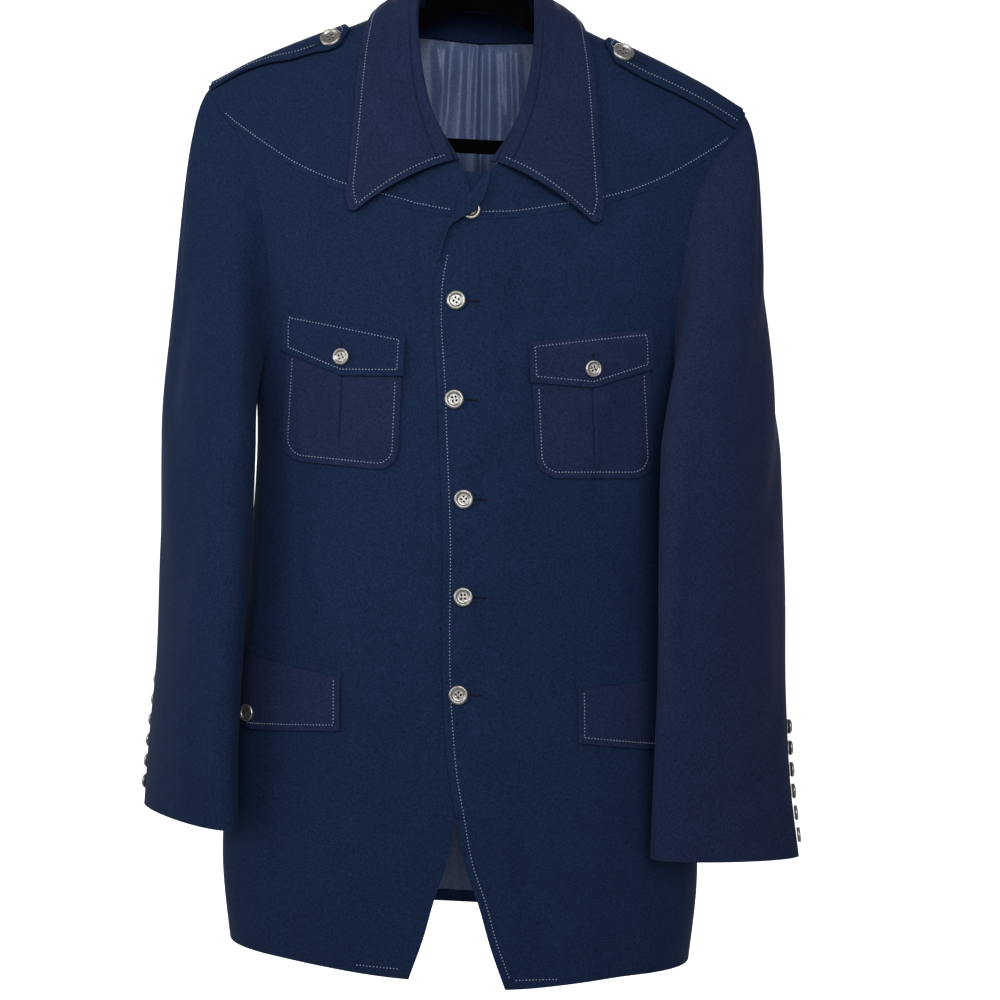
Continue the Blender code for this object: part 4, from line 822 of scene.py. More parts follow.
def roundTips(grid):
    # rows close together at both ends, shortened there on a quarter circle
    radius = collar["tipRadius"]
    rows, columns = grid.shape[:2]
    run = runLength(grid[:, -1])
    nearEnd = radius * (1 - np.cos(np.linspace(0, math.pi / 2, 13)))
    spots = np.concatenate([nearEnd, run[7:rows - 7], run[-1] - nearEnd[::-1]])
    spots = np.unique(np.round(spots, 7))
    i = np.interp(spots, run, np.arange(rows))
    fromEnd = np.minimum(np.minimum(spots, run[-1] - spots), radius)
    width = rowWidths(grid)[np.round(i).astype(int)]
    short = (radius - np.sqrt(radius ** 2 - (radius - fromEnd) ** 2)) / width
    crease = collar["rollAt"] * (columns - 1)
    across = np.union1d(np.linspace(0, columns - 1, columns), crease + np.linspace(-0.8, 0.8, 9))
    j = across[None, :] * (1 - short)[:, None]
    return gridAt(grid, np.broadcast_to(i[:, None], j.shape), j), i, across - crease


def makeCollar():
    right, left = collarSide(-1.0), collarSide(1.0)
    left[5:, :, 1] -= collar["leftLift"] * ease(0.10 - left[5:, :, 0], 0.0, 0.06)
    rough = hangDown(np.concatenate([right[::-1], left[1:]]))
    grid = refineGrid(rough, collar["finerDown"], collar["finerAcross"])
    grid, rowPlaces, fromRoll = roundTips(grid)
    middle = np.array(collar["middle"])
    normal = gridNormals(grid, grid - middle)
    front = ease(np.abs(rowPlaces / rowPlaces[-1] * 2 - 1), 0.42, 0.60)[:, None]
    pressed = front * np.exp(-(fromRoll / collar["rollHalf"]) ** 2)[None, :]
    grid = grid - normal * (collar["rollDeep"] * pressed)[..., None]
    clothPiece("collar_fall", grid, normal, collar["wall"], "navyRaised")
    feet = np.array([(r, float(torsoDepth(r, z, place > 0)) if place else 0.0, z)
                     for r, z, place in collarRows[:, 5:]])
    both = np.concatenate([(feet * np.array((-1.0, 1.0, 1.0)))[::-1], feet[1:]])
    both[:, 0] += middleX(both[:, 2])
    foot = splineThrough(hangDown(both), collar["finerDown"])
    foot = gridAt(foot[:, None].repeat(2, axis=1), rowPlaces, 0 * rowPlaces)
    top = grid[:, 0] - normal[:, 0] * (collar["wall"] + collar["foldGap"])
    t = np.linspace(0, 1, 13)[None, :, None]
    stand = top[:, None] * (1 - t) + foot[:, None] * t
    standOut = gridNormals(stand, stand - middle)
    clothPiece("collar_stand", stand, standOut, collar["wall"], "navyRaised")
    return grid, normal


collarShape, collarOut = makeCollar()
print("collar turned")


# What lies on the fronts: each piece is a grid of places across and down, a little off the cloth
chest = {"x": {"right": -0.1075, "left": 0.1024}, "top": -0.394, "width": 0.102, "depth": 0.122,
         "slope": 0.185, "lean": 0.04, "corner": 0.019, "start": 0.012, "wall": 0.0014,
         "patchLow": 0.0008, "puff": 0.0006, "lap": 0.0010, "lapWidth": 0.006,
         "pleatDepth": 0.0012, "pleatHalf": 0.0011, "pleatEnd": 0.082, "straighter": 0.7,
         "flapWall": 0.0016, "flapWider": 0.002, "flapLow": 0.0036, "flapRoot": 0.0030,
         "flapRootDeep": 0.011, "flapDepth": 0.045, "flapPoint": 0.011, "button": 0.029}


def chestPlace(side, across, down):
    x = chest["x"][side] + signOf(side) * (across + chest["lean"] * down)
    level = chest["straighter"] * ease(down, chest["flapDepth"], chest["depth"])
    slope = chest["slope"] * (1 - level)
    return x, chest["top"] + slope * across - down


def layOnFront(node, x, z, side, off, wall, cloth="navyRaised"):
    points, normals = placeOnFront(x, z, side, off + wall)
    clothPiece(node, points, normals, wall, cloth)


def chestPatch(side):
    half = chest["width"] / 2
    spans = ((-1, -0.72, 12), (-0.68, -0.06, 14), (-0.05, 0.05, 11), (0.06, 0.68, 14),
             (0.72, 1, 12))            # close together at the pleat and the corners
    reach = half * np.concatenate([np.linspace(*span) for span in spans])
    near = np.clip(chest["corner"] - (half - np.abs(reach)), 0.0, chest["corner"])
    bottom = chest["depth"] - (chest["corner"] - np.sqrt(chest["corner"] ** 2 - near ** 2))
    down = chest["start"] + (bottom - chest["start"])[None, :] * np.linspace(0, 1, 34)[:, None]
    across = np.repeat(reach[None, :], len(down), axis=0)
    x, z = chestPlace(side, across, down)
    past = down - chest["pleatEnd"]
    fold = np.exp(-(across / chest["pleatHalf"]) ** 2) * (1 - ease(past, 0.018, 0.03))
    puff = (chest["puff"] * (1 - (across / half) ** 2)
            * ease(down, 0.0, 0.03) * (1 - ease(down, 0.09, chest["depth"])))
    lap = (chest["lap"] * ease(across, 0.0, 0.0009)
           * np.exp(-np.maximum(across, 0) / chest["lapWidth"]))
    off = (chest["patchLow"] + puff + (lap - chest["pleatDepth"]) * fold
           + lap * (1 - fold) * (past < 0.02))
    layOnFront("chest_pocket_" + side, x, z, side, off, chest["wall"])


def flapLift(down):                # low along its upper seam
    return chest["flapLow"] - chest["flapRoot"] * (1 - ease(down, 0.0, chest["flapRootDeep"]))


def chestFlap(side):
    half = chest["width"] / 2 + chest["flapWider"]
    v = np.linspace(-1, 1, 61)
    edge = chest["flapDepth"] - chest["flapPoint"] * np.sqrt(v ** 2 + 0.0004)
    down = edge[None, :] * np.linspace(0, 1, 25)[:, None]
    across = np.repeat(half * v[None, :], len(down), axis=0)
    x, z = chestPlace(side, across, down)
    layOnFront("chest_flap_" + side, x, z, side, flapLift(down), chest["flapWall"],
               "navy" if side == "right" else "navyRaised")


hip = {"inner": {"right": -0.1105, "left": 0.0915}, "top": -0.6965, "span": 0.118, "slope": 0.115,
       "point": 0.092, "pointRound": 0.0015, "button": 0.050, "depth": 0.0455, "drop": 0.0185,
       "low": 0.0005, "rise": 0.0010, "riseDeep": 0.012, "welt": 0.0058, "weltWall": 0.0012,
       "steps": 12}


def hipPlace(side, along, down):   # walks round the oval by its own girth
    sign = signOf(side)
    z = hip["top"] + hip["slope"] * along - down
    halfWidth, depth = readRows(torsoRows, z, 1), readRows(torsoRows, z, 2)
    start = np.arcsin((sign * hip["inner"][side] - sign * middleX(z)) / halfWidth)
    angle = start + 0 * along
    for _ in range(hip["steps"]):
        middle = 0.5 * (start + angle)
        pace = np.sqrt((halfWidth * np.cos(middle)) ** 2 + (depth * np.sin(middle)) ** 2)
        angle = start + along / pace
    return sign * angle, z


def hipEdge(along, rounding=0.0):  # depth of the flap's lower edge, deepest at its point
    away = np.sqrt((along - hip["point"]) ** 2 + rounding ** 2)
    return hip["depth"] + hip["drop"] * (1 - away / hip["point"])


def hipLift(down):
    return hip["low"] + hip["rise"] * ease(down, 0.0, hip["riseDeep"]) + chest["wall"]


def hipPieces(side):
    along = hip["span"] * np.linspace(0, 1, 61)
    down = hipEdge(along, hip["pointRound"])[None, :] * np.linspace(0, 1, 25)[:, None]
    spread = np.repeat(along[None, :], len(down), axis=0)
    angle, z = hipPlace(side, spread, down)
    points, normals = placeOnBody(angle, z, "", hipLift(down))
    clothPiece("lower_flap_" + side, points, normals, chest["wall"], "navyRaised")
    down = np.linspace(-hip["welt"], -0.0004, 5)[:, None] + 0 * spread[:5]
    angle, z = hipPlace(side, spread[:5] - 0.002, down)
    points, normals = placeOnBody(angle, z, "", hip["low"] + hip["weltWall"])
    clothPiece("lower_welt_" + side, points, normals, hip["weltWall"])


for side in bothSides:
    chestPatch(side)
    chestFlap(side)
    hipPieces(side)
print("pockets laid on")


# Shoulder straps: share along from the neck, reach in front of the shoulder seam, and behind
strapRows = {
    "right": np.array(((0.00, 0.0240, -0.0010), (0.06, 0.0250, -0.0030), (0.19, 0.0215, -0.0080),
                       (0.36, 0.0190, -0.0140), (0.58, 0.0110, -0.0220), (0.78, 0.0080, -0.0280),
                       (1.00, 0.0090, -0.0300))),
    "left": np.array(((0.00, 0.0262, -0.0010), (0.06, 0.0275, -0.0016), (0.20, 0.0290, -0.0040),
                      (0.50, 0.0270, -0.0100), (1.00, 0.0260, -0.0180))),
}
strap = {"tipDrop": 0.010, "tipLong": 0.009, "tipReach": 0.015, "start": 0.112, "low": 0.0008,
         "loose": 0.0016, "short": 0.0030, "crowd": 1.2, "buttonAlong": 0.016, "buttonDrop": 0.0150}


def ridgePlace(r, around):
    z = shoulderZ(r) - np.abs(around)
    angle = angleFor(r, z)
    return np.where(around < 0, np.pi - angle, angle), z


def strapGrid(side):               # from a point near the neck to the armhole
    sign = signOf(side)
    rows = strapRows[side]
    share = np.linspace(0, 1, 49) ** strap["crowd"]
    front, back = np.sqrt(readRows(rows, share, 1)), -np.sqrt(-readRows(rows, share, 2))
    v = np.linspace(0, 1, 41)
    root = front[:, None] * (1 - v) + back[:, None] * v
    around = np.sign(root) * root ** 2
    fromTip = np.clip(np.abs(around[:1] - strap["tipDrop"]) / strap["tipReach"], 0, 1)
    start = strap["start"] + strap["tipLong"] * fromTip
    across = start + (garment["tipHalf"] - start) * share[:, None]
    for _ in range(6):
        z = shoulderZ(across) - np.abs(around)
        arm = np.interp(-z, -armholeRows[:, 0], armholeRows[:, 1]) - strap["short"]
        across = start + (arm - start) * share[:, None]
    angle, z = ridgePlace(across, around)
    normal = torsoNormal(sign * angle, z)
    low = (strap["low"] + strap["loose"] * (1 - ease(share, 0.7, 1.0)))[:, None, None]
    return hangDown(torso(sign * angle, z)) + normal * (low + garment["cloth"]), normal


strapShapes = {side: strapGrid(side) for side in bothSides}
for side, (points, normals) in strapShapes.items():
    clothPiece("epaulette_" + side, points, normals, garment["cloth"])
print("shoulder straps on")


# Inside the backs: a navy facing at the neck and the lining, gathered into soft folds there
inside = {"deep": 0.0023, "facingRows": (0.4, 2.4), "facingColumns": 2, "liningFirst": 2.5,
          "liningColumns": 5, "liningShort": 1.25, "close": 0.075, "closeStep": 0.0009, "wideSteps": 26,
          "neckLow": -0.270, "neckStep": 0.0030, "lowSteps": 90}
liningFolds = (
    (-0.0345, -0.105, -0.0315, -0.215, 0.0052, 0.0056, 0.06),
    (-0.0240, -0.102, -0.0280, -0.180, 0.0030, 0.0040, -0.07),
    (-0.0115, -0.100, -0.0190, -0.260, 0.0068, 0.0080, 0.06),
    (0.0020, -0.100, -0.0030, -0.205, 0.0030, 0.0040, -0.05),
    (0.0108, -0.100, 0.0050, -0.300, 0.0044, 0.0095, 0.02),
    (0.0240, -0.101, 0.0195, -0.250, 0.0062, 0.0070, 0.07),
    (0.0330, -0.103, 0.0350, -0.190, 0.0030, 0.0044, -0.05),
    (0.0410, -0.106, 0.0430, -0.240, 0.0048, 0.0056, 0.04),
    (-0.0185, -0.150, -0.0235, -0.270, 0.0050, 0.0040, -0.05),
    (0.0290, -0.160, 0.0270, -0.270, 0.0046, 0.0040, 0.05),
    (-0.060, -0.420, -0.070, -0.880, 0.0160, 0.0030, 0.03),
    (0.055, -0.440, 0.060, -0.900, 0.0170, 0.0028, -0.03),
    (-0.028, -0.700, -0.034, -0.915, 0.0070, 0.0050, 0.02),
    (-0.012, -0.690, -0.016, -0.915, 0.0060, 0.0064, -0.03),
    (0.006, -0.680, 0.002, -0.915, 0.0075, 0.0056, 0.03))


def insideBacks(firstRow, lastRow, columns, folds):
    # rows and columns close together where the folds show, wider below and outside
    halves = []
    finer = panelSteps["finer"]
    for side in bothSides:
        fine = refineGrid(coarse["back_" + side], finer, finer)
        rowZ = fine[:, 0, 1]
        top, low = np.interp([firstRow * finer, lastRow * finer], np.arange(len(fine)), rowZ)
        if folds:
            z = np.concatenate([np.arange(top, inside["neckLow"], -inside["neckStep"]),
                                np.linspace(inside["neckLow"], low, inside["lowSteps"])])
            near = np.arange(0, inside["close"], inside["closeStep"]) / (inside["close"] * 2.0)
            j = np.concatenate([near, np.linspace(0.5, 1, inside["wideSteps"] + 1)]) * columns * finer
        else:
            z, j = np.linspace(top, low, 12), np.linspace(0, columns * finer, 24)
        i = np.interp(-z, -rowZ, np.arange(len(fine)))
        part = gridAt(fine, *np.meshgrid(i, j, indexing="ij"))
        x = readRows(torsoRows, part[..., 1], 1) * np.sin(part[..., 0]) + middleX(part[..., 1])
        down = np.linspace(0, 1, len(part))[:, None]
        room = 1 - ease(np.linspace(0, 1, part.shape[1]), 0.9, 1.0)
        fold = (np.abs(creaseHeight(folds, x, part[..., 1])) * ease(down, 0.0, 0.02) * room
                if folds else 0.0)
        halves.append(placeOnBody(part[..., 0], part[..., 1], "", -inside["deep"] - fold))
    return [np.concatenate([halves[0][k][:, :0:-1], halves[1][k]], axis=1) for k in (0, 1)]


points, normals = insideBacks(*inside["facingRows"], inside["facingColumns"], ())
clothPiece("neck_facing", points, normals, garment["liningWall"])
lastRow = len(coarse["back_right"]) - inside["liningShort"]
points, normals = insideBacks(inside["liningFirst"], lastRow, inside["liningColumns"], liningFolds)
clothPiece("lining_back", points, normals, garment["liningWall"], "lining")

# The under front goes on behind the open corner of the top one
corner = {"left": -0.036, "right": 0.0155, "top": -0.2600, "low": -0.3100, "deep": 0.0017,
          "wave": 0.0015, "waves": 60.0}
across, down = np.meshgrid(np.linspace(corner["left"], corner["right"], 27), np.linspace(0, 1, 25))
z = (corner["top"] + (corner["low"] - corner["top"]) * down
     + corner["wave"] * np.cos(across * corner["waves"]) * (1 - down))
points, normals = placeOnFront(across, z, "right", -corner["deep"])
clothPiece("under_corner", points, normals, garment["cloth"], replaced=False)

roll = {"top": -0.2600, "end": -0.3380, "radius": 0.0030, "steps": 8, "width": 0.0100, "wall": 0.0012,
        "finer": 5, "start": 0.0004, "lift": 0.0006, "turns": (8.0, 50.0, 92.0, 134.0, 176.0)}


def rolledEdge():                  # the left front's edge turns back over itself on a small arc
    z = np.linspace(roll["top"], roll["end"], roll["steps"] + 1)
    line = frontEdge(1.0, z)
    x = middleX(z) + np.sin(line[:, 0]) * readRows(torsoRows, z, 1)
    edge, normal = placeOnFront(x, z, "left")
    away = unit(np.cross(normal, np.gradient(edge, axis=0)))
    away = -away if away[0, 0] > 0 else away
    share = np.linspace(0, 1, roll["steps"] + 1)
    radius = roll["radius"] * (1 - 0.55 * ease(share, 0.40, 0.80))
    reach = roll["width"] * ease(share, -0.06, 0.32) * (1 - 0.90 * ease(share, 0.36, 0.64))
    turns = np.radians(np.array(roll["turns"]))
    rows = [edge + away * (roll["start"] + radius * math.sin(a))[:, None]
            + normal * (radius * (1 - math.cos(a)))[:, None] for a in turns]
    for part in (0.5, 1.0):
        rows.append(rows[len(turns) - 1] - away * (reach * part)[:, None]
                    + normal * (roll["lift"] * part))
    rough = np.stack(rows, axis=1)
    grid = refineGrid(rough, roll["finer"], roll["finer"])
    centre = splineThrough(edge + normal * radius[:, None], roll["finer"])
    out = gridNormals(grid, grid - centre[:, None])
    clothPiece("facing_left", grid, out, roll["wall"])


rolledEdge()
print("lining and facings in")


# Buttons: a turned profile with a raised rim, a dished middle and four holes
button = {"profile": ((0.00, 0.0019), (0.06, 0.0019), (0.11, 0.0019), (0.15, 0.0019), (0.19, 0.0019),
                      (0.23, 0.0019), (0.27, 0.0019), (0.32, 0.0019), (0.38, 0.0019), (0.48, 0.0018),
                      (0.58, 0.0019), (0.66, 0.0023), (0.73, 0.0029), (0.80, 0.0030), (0.88, 0.0029),
                      (0.95, 0.0024), (1.00, 0.0016), (0.97, 0.0008), (0.84, 0.0000), (0.40, 0.0000),
                      (0.00, 0.0000)),
          "sides": 44, "faceRows": 11, "holeOut": 0.185, "holeHalf": 0.085, "holeDeep": 0.0013,
          "holeDark": 0.0004, "gap": 0.0004, "over": 0.0008, "spin": 0.35, "hipLean": -0.4,
          "shoulderLean": -0.35, "cuffs": 6, "cuffGap": 0.0007, "cuffFirst": 0.018, "cuffPitch": 0.0185,
          "cuffShare": 0.15,
          "radius": {"front": 0.0083, "chest": 0.0075, "hip": 0.0075, "shoulder": 0.0095,
                     "cuff": 0.0070},
          "front": ((0.0010, -0.2935), (-0.0115, -0.3715), (-0.0130, -0.4555), (-0.0050, -0.5395),
                    (-0.0055, -0.6220), (-0.0095, -0.7045))}


def frameOf(normal):
    normal = unit(np.array(normal, float))
    across = unit(np.cross((0.0, 0.0, 1.0), normal))
    return across, np.cross(normal, across), normal


def addButton(node, place, normal, radius, turn):
    across, up, out = frameOf(normal)
    rows = np.array(button["profile"])
    turns = np.linspace(0, 2 * math.pi, button["sides"], endpoint=False) + turn
    share, height = rows[1:-1, 0][:, None], rows[1:-1, 1][:, None]
    px, py = share * np.cos(turns - turn), share * np.sin(turns - turn)
    away = np.minimum.reduce([np.hypot(px - a * button["holeOut"], py - b * button["holeOut"])
                              for a in (-1, 1) for b in (-1, 1)])
    topSide = (np.arange(1, len(rows) - 1) < button["faceRows"])[:, None]
    sunk = button["holeDeep"] * np.exp(-(away / button["holeHalf"]) ** 6) * topSide
    high = height - sunk
    spoke = np.cos(turns)[:, None] * across + np.sin(turns)[:, None] * up
    ring = place + radius * share[..., None] * spoke[None] + high[..., None] * out
    points = np.concatenate([ring.reshape(-1, 3),
                             [place + out * rows[0, 1], place + out * rows[-1, 1]]])
    count, sides = len(rows) - 2, button["sides"]
    index = np.arange(count * sides).reshape(count, sides)
    after = np.roll(index, -1, axis=1)
    quads = np.stack([index[:-1], index[1:], after[1:], after[:-1]], -1).reshape(-1, 4)
    crown = np.stack([np.full(sides, count * sides), index[0], after[0]], -1)
    floor = np.stack([np.full(sides, count * sides + 1), after[-1], index[-1]], -1)
    faces = quads.tolist() + crown.tolist() + floor.tolist()
    piece = makeMesh(node + "_metal", points, faces, [paint["pewter"], paint["hole"]], sharp=50)
    dark = (sunk > button["holeDark"]).reshape(-1)
    mark = np.zeros(len(faces), np.int32)
    mark[:len(quads)] = dark[quads].sum(axis=1) >= 2
    piece.data.polygons.foreach_set("material_index", mark)
    return settle(piece, [node])


holes = []                         # where the buttonholes go: place, along, normal, length


def addHole(point, normal, way, length, start):
    along = np.array(way, float)
    along = unit(along - normal * float(along @ normal))
    holes.append((point + along * start, along, normal, length))


def hipPoint(side, off):
    angle, z = hipPlace(side, np.array([hip["point"]]), np.array([hip["button"]]))
    point, normal = placeOnBody(angle, z, "", off)
    return point[0], normal[0]


# Buttonholes: the way each runs, its length, and where it starts from its button's middle
holeCuts = {"front": ((1.0, 0, -0.03), 0.0155, 0.0045), "chest": ((0, 0, 1.0), 0.0095, 0.0042),
            "hip": ((0, 0, 1.0), 0.0125, 0.0045)}


def pointOn(values, z, zs):        # the values at a height, from rows that run down
    return np.array([np.interp(z, zs[::-1], values[::-1, k]) for k in range(3)])


def sewButtons(side):
    spin, gap, radius = button["spin"], button["gap"], button["radius"]
    x, z = chestPlace(side, np.array([0.0]), np.array([chest["button"]]))
    point, normal = placeOnFront(x, z, side, chest["flapLow"] + chest["flapWall"] + gap)
    addButton("button_chest_" + side, point[0], normal[0], radius["chest"], spin)
    addHole(point[0] - normal[0] * gap, normal[0], *holeCuts["chest"])
    point, normal = hipPoint(side, hip["low"] + hip["rise"] + chest["wall"] + gap)
    facing = unit(normal + np.array((0.0, button["hipLean"], 0.0)))
    addButton("button_hip_" + side, point + normal * button["over"], facing, radius["hip"],
              spin + 0.4)
    addHole(point - normal * gap, normal, *holeCuts["hip"])
    sign = signOf(side)
    angle, z = ridgePlace(np.array([strap["start"] + strap["buttonAlong"]]),
                          np.array([strap["buttonDrop"]]))
    normal = torsoNormal(sign * angle, z)[0]
    over = strap["low"] + strap["loose"] + garment["cloth"] + button["over"]
    point = hangDown(torso(sign * angle, z))[0] + normal * over
    facing = unit(normal + np.array((0.0, button["shoulderLean"], 0.0)))
    addButton("button_shoulder_" + side, point, facing, radius["shoulder"], spin + 0.2)
    addHole(point - normal * 0.0006, normal, (sign, 0, -0.45), 0.0190, 0.0060)
    grid, out, half = sleeveShapes[side]
    column = (half + sleeve["hindSeam"] - 1 + button["cuffShare"]) * sleeve["finer"]
    rows = np.arange(sleeve["capRows"], len(grid), dtype=float)
    line, facing = (gridAt(values, rows, column + 0 * rows) for values in (grid, out))
    for i in range(button["cuffs"]):
        z = line[-1, 2] + button["cuffFirst"] + button["cuffPitch"] * i
        normal = unit(pointOn(facing, z, line[:, 2]))
        place = pointOn(line, z, line[:, 2]) + normal * button["cuffGap"]
        addButton(f"button_cuff_{side}_{i + 1}", place, normal, radius["cuff"], spin + 0.5 * i)


for i, (x, z) in enumerate(button["front"]):
    point, normal = placeOnFront(np.array([x]), np.array([z]), "left", button["gap"])
    addButton(f"button_front_{i + 1}", point[0], normal[0], button["radius"]["front"],
              button["spin"] + 0.7 * i)
    if i:                          # the first one's hole is in the open corner
        addHole(point[0] - normal[0] * button["gap"], normal[0], *holeCuts["front"])
for side in bothSides:
    sewButtons(side)
print("buttons sewn on")


# Sewing: every stitch is a small six-sided grain of thread along a line on the cloth
sewing = {"pitch": 0.0029, "long": 0.0014, "wide": 0.00095, "high": 0.00040, "off": 0.00012,
          "inset": 0.0060, "pocketInset": 0.0052, "frontInset": 0.0065, "strapEnd": 0.0062,
          "frontTop": {"right": -0.302, "left": -0.332}, "yokeFirst": {"right": 0.020, "left": 0.003},
          "yokeLast": 0.224, "yokeAbove": 0.0062, "yokeTurn": 0.9, "hemAbove": 0.008,
          "hemFrom": 0.004, "hemTo": 0.040, "holePitch": 0.00065, "holeWide": 0.0024,
          "holeHigh": 0.00035, "holeOff": 0.0001}


def threadGrains(name, centres, alongs, normals, long, wide, high, cloth):
    # a grain is two end points with three rings of six between them
    sideways = np.cross(normals, alongs)
    ringAngles = np.linspace(0, 2 * math.pi, 6, endpoint=False)
    template = [(-0.5, 0.0, 0.0)]
    for t, s in ((-0.30, 0.9), (0.0, 1.0), (0.30, 0.9)):
        template += [(t, s * 0.5 * math.cos(a), s * math.sin(a)) for a in ringAngles]
    template = np.array(template + [(0.5, 0.0, 0.0)])
    points = (centres[:, None] + template[None, :, :1] * long * alongs[:, None]
              + template[None, :, 1:2] * wide * sideways[:, None]
              + template[None, :, 2:] * high * normals[:, None])
    around = [(i, (i + 1) % 6) for i in range(6)]
    faces = [(0, 1 + after, 1 + i) for i, after in around]
    for k in (1, 7):
        faces += [(k + i, k + after, k + 6 + after, k + 6 + i) for i, after in around]
    faces += [(19, 13 + i, 13 + after) for i, after in around]
    count = len(template)
    every = [tuple(v + n * count for v in face) for n in range(len(centres)) for face in faces]
    points = points.reshape(-1, 3)
    settle(makeMesh(name, points, every, [paint[cloth]], points[:, (0, 2)]))


def sewLine(points, normals):      # even steps of the pitch along a line
    pitch = sewing["pitch"]
    gaps = runLength(points)
    spots = np.arange(pitch * 0.5, gaps[-1], pitch)

    def at(values):
        return np.stack([np.interp(spots, gaps, values[:, k]) for k in range(3)], -1)

    along, normal = unit(at(np.gradient(points, gaps, axis=0))), unit(at(normals))
    along = unit(along - normal * np.sum(along * normal, -1, keepdims=True))
    return at(points) + normal * sewing["off"], along, normal


def joinLines(lines):
    return [np.concatenate([line[k] for line in lines]) for k in range(3)]


def frontLines():
    lines = []
    for side in bothSides:
        sign = signOf(side)
        corner = garment["cornerDrop"] * (1.0 if sign > 0 else 0.5)
        hem = garment["hemZ"] - corner + sewing["hemAbove"]
        z = np.linspace(sewing["frontTop"][side], hem, 160)
        edge = frontEdge(sign, z)
        x = (middleX(z) + np.sin(edge[:, 0]) * readRows(torsoRows, z, 1)
             + sign * sewing["frontInset"])
        if side == "left":         # the under front is plain along its edge
            lines.append(sewLine(*placeOnFront(x, z, side)))
        x = x[-1] + sign * np.linspace(sewing["hemFrom"], sewing["hemTo"], 20)
        lines.append(sewLine(*placeOnFront(x, hem + 0 * x, side)))
        across = np.linspace(sewing["yokeFirst"][side], sewing["yokeLast"], 130)
        z = (readRows(yokeRows, across, 1) + sewing["yokeAbove"]
             + sewing["yokeTurn"] * np.maximum(across - yokeRows[-1, 0], 0))
        points = placeOnBody(angleFor(sign * across, z), z, side, panelSteps["yokeLap"] * 0.9)
        lines.append(sewLine(*points))
    return joinLines(lines)


def collarLines():                 # an even distance in from the edge and both ends
    grid, out = collarShape, collarOut
    rows, columns = grid.shape[:2]
    inset = sewing["inset"]
    widths = rowWidths(grid)
    run = runLength(grid[:, -1])
    i = np.interp(np.linspace(inset * 1.15, run[-1] - inset * 1.15, 900), run, np.arange(rows))
    j = (columns - 1) * (1 - inset / np.interp(i, np.arange(rows), widths))
    lines = [sewLine(gridAt(grid, i, j), gridAt(out, i, j))]
    near = rows // 8
    for way, first in ((1, i[0]), (-1, i[-1])):
        j = np.linspace(0.04, 1 - inset / widths[round(first)], 60) * (columns - 1)
        ends = [np.interp(inset, runLength(grid[::way][:near, c]), np.arange(near))
                for c in range(columns)]
        step = np.interp(j, np.arange(columns), ends)
        place = step if way > 0 else rows - 1 - step
        lines.append(sewLine(gridAt(grid, place, j), gridAt(out, place, j)))
    return joinLines(lines)


def pocketLines():
    lines = []
    inset = sewing["pocketInset"]
    for side in bothSides:
        def sewOnChest(outline, count, off):
            path = alongLine(outline, np.linspace(0, 1, count))
            x, z = chestPlace(side, path[:, 0], path[:, 1])
            lines.append(sewLine(*placeOnFront(x, z, side, off(path[:, 1]))))

        half, bottom = chest["width"] / 2 - inset, chest["depth"] - inset
        radius = chest["corner"] - 0.005
        bend = np.linspace(0, math.pi / 2, 9)
        turn = [(half - radius * (1 - math.cos(a)), bottom - radius * (1 - math.sin(a)))
                for a in bend]
        outline = [(-half, 0.040)] + [(-x, z) for x, z in turn] + turn[::-1] + [(half, 0.040)]
        sewOnChest(outline, 220, lambda down: chest["patchLow"] + chest["wall"])
        half = chest["width"] / 2 + chest["flapWider"] - inset
        low = chest["flapDepth"] - inset
        sideLow = low - chest["flapPoint"] * half / (half + inset)
        outline = [(-half, 0.004), (-half, sideLow), (0, low), (half, sideLow), (half, 0.004)]
        for span in (outline, [(-half, 0.0045), (half, 0.0045)]):
            sewOnChest(span, 200, lambda down: flapLift(down) + chest["flapWall"])
        first, end = inset, hip["span"] - inset
        outline = ([(first, 0.003)] + [(a, hipEdge(a) - inset) for a in (first, hip["point"], end)]
                   + [(end, 0.003)])
        path = alongLine(outline, np.linspace(0, 1, 220))
        angle, z = hipPlace(side, path[:, 0], path[:, 1])
        lines.append(sewLine(*placeOnBody(angle, z, "", hipLift(path[:, 1]))))
    return joinLines(lines)


def strapLines():
    lines = []
    for grid, out in strapShapes.values():
        rows, columns = grid.shape[:2]
        first = np.interp(sewing["strapEnd"], runLength(grid[:, columns // 2]), np.arange(rows))
        i = np.linspace(first, rows - 1.01, 160)
        j = (columns - 1) * sewing["inset"] / np.interp(i, np.arange(rows), rowWidths(grid))
        for column in (j, columns - 1 - j):
            lines.append(sewLine(gridAt(grid, i, column), gridAt(out, i, column)))
        j = np.linspace(j[0], columns - 1 - j[0], 40)
        lines.append(sewLine(gridAt(grid, first + 0 * j, j), gridAt(out, first + 0 * j, j)))
    return joinLines(lines)


for name, lines in (("stitching_fronts", frontLines()), ("stitching_collar", collarLines()),
                    ("stitching_pockets", pocketLines()), ("stitching_straps", strapLines())):
    threadGrains(name, *lines, sewing["long"], sewing["wide"], sewing["high"], "thread")
    print(name, len(lines[0]), "stitches")

centres, crossways, ups = [], [], []
for place, along, normal, length in holes:
    for k in range(int(length / sewing["holePitch"])):
        centres.append(place + along * sewing["holePitch"] * (k + 0.5) + normal * sewing["holeOff"])
        crossways.append(np.cross(normal, along))
        ups.append(normal)
threadGrains("buttonholes", np.array(centres), np.array(crossways), np.array(ups),
             sewing["holeWide"], sewing["holePitch"] * 1.05, sewing["holeHigh"], "darkThread")
print("buttonholes worked:", len(holes))


# The hanger keeps its own solids, with flock and wire on them
for node, cloth in (("hanger_body", "flock"), ("hanger_bar", "flock"), ("hanger_hook", "steel")):
    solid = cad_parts[node]
    for place in solid.material_slots:
        place.material = paint[cloth]


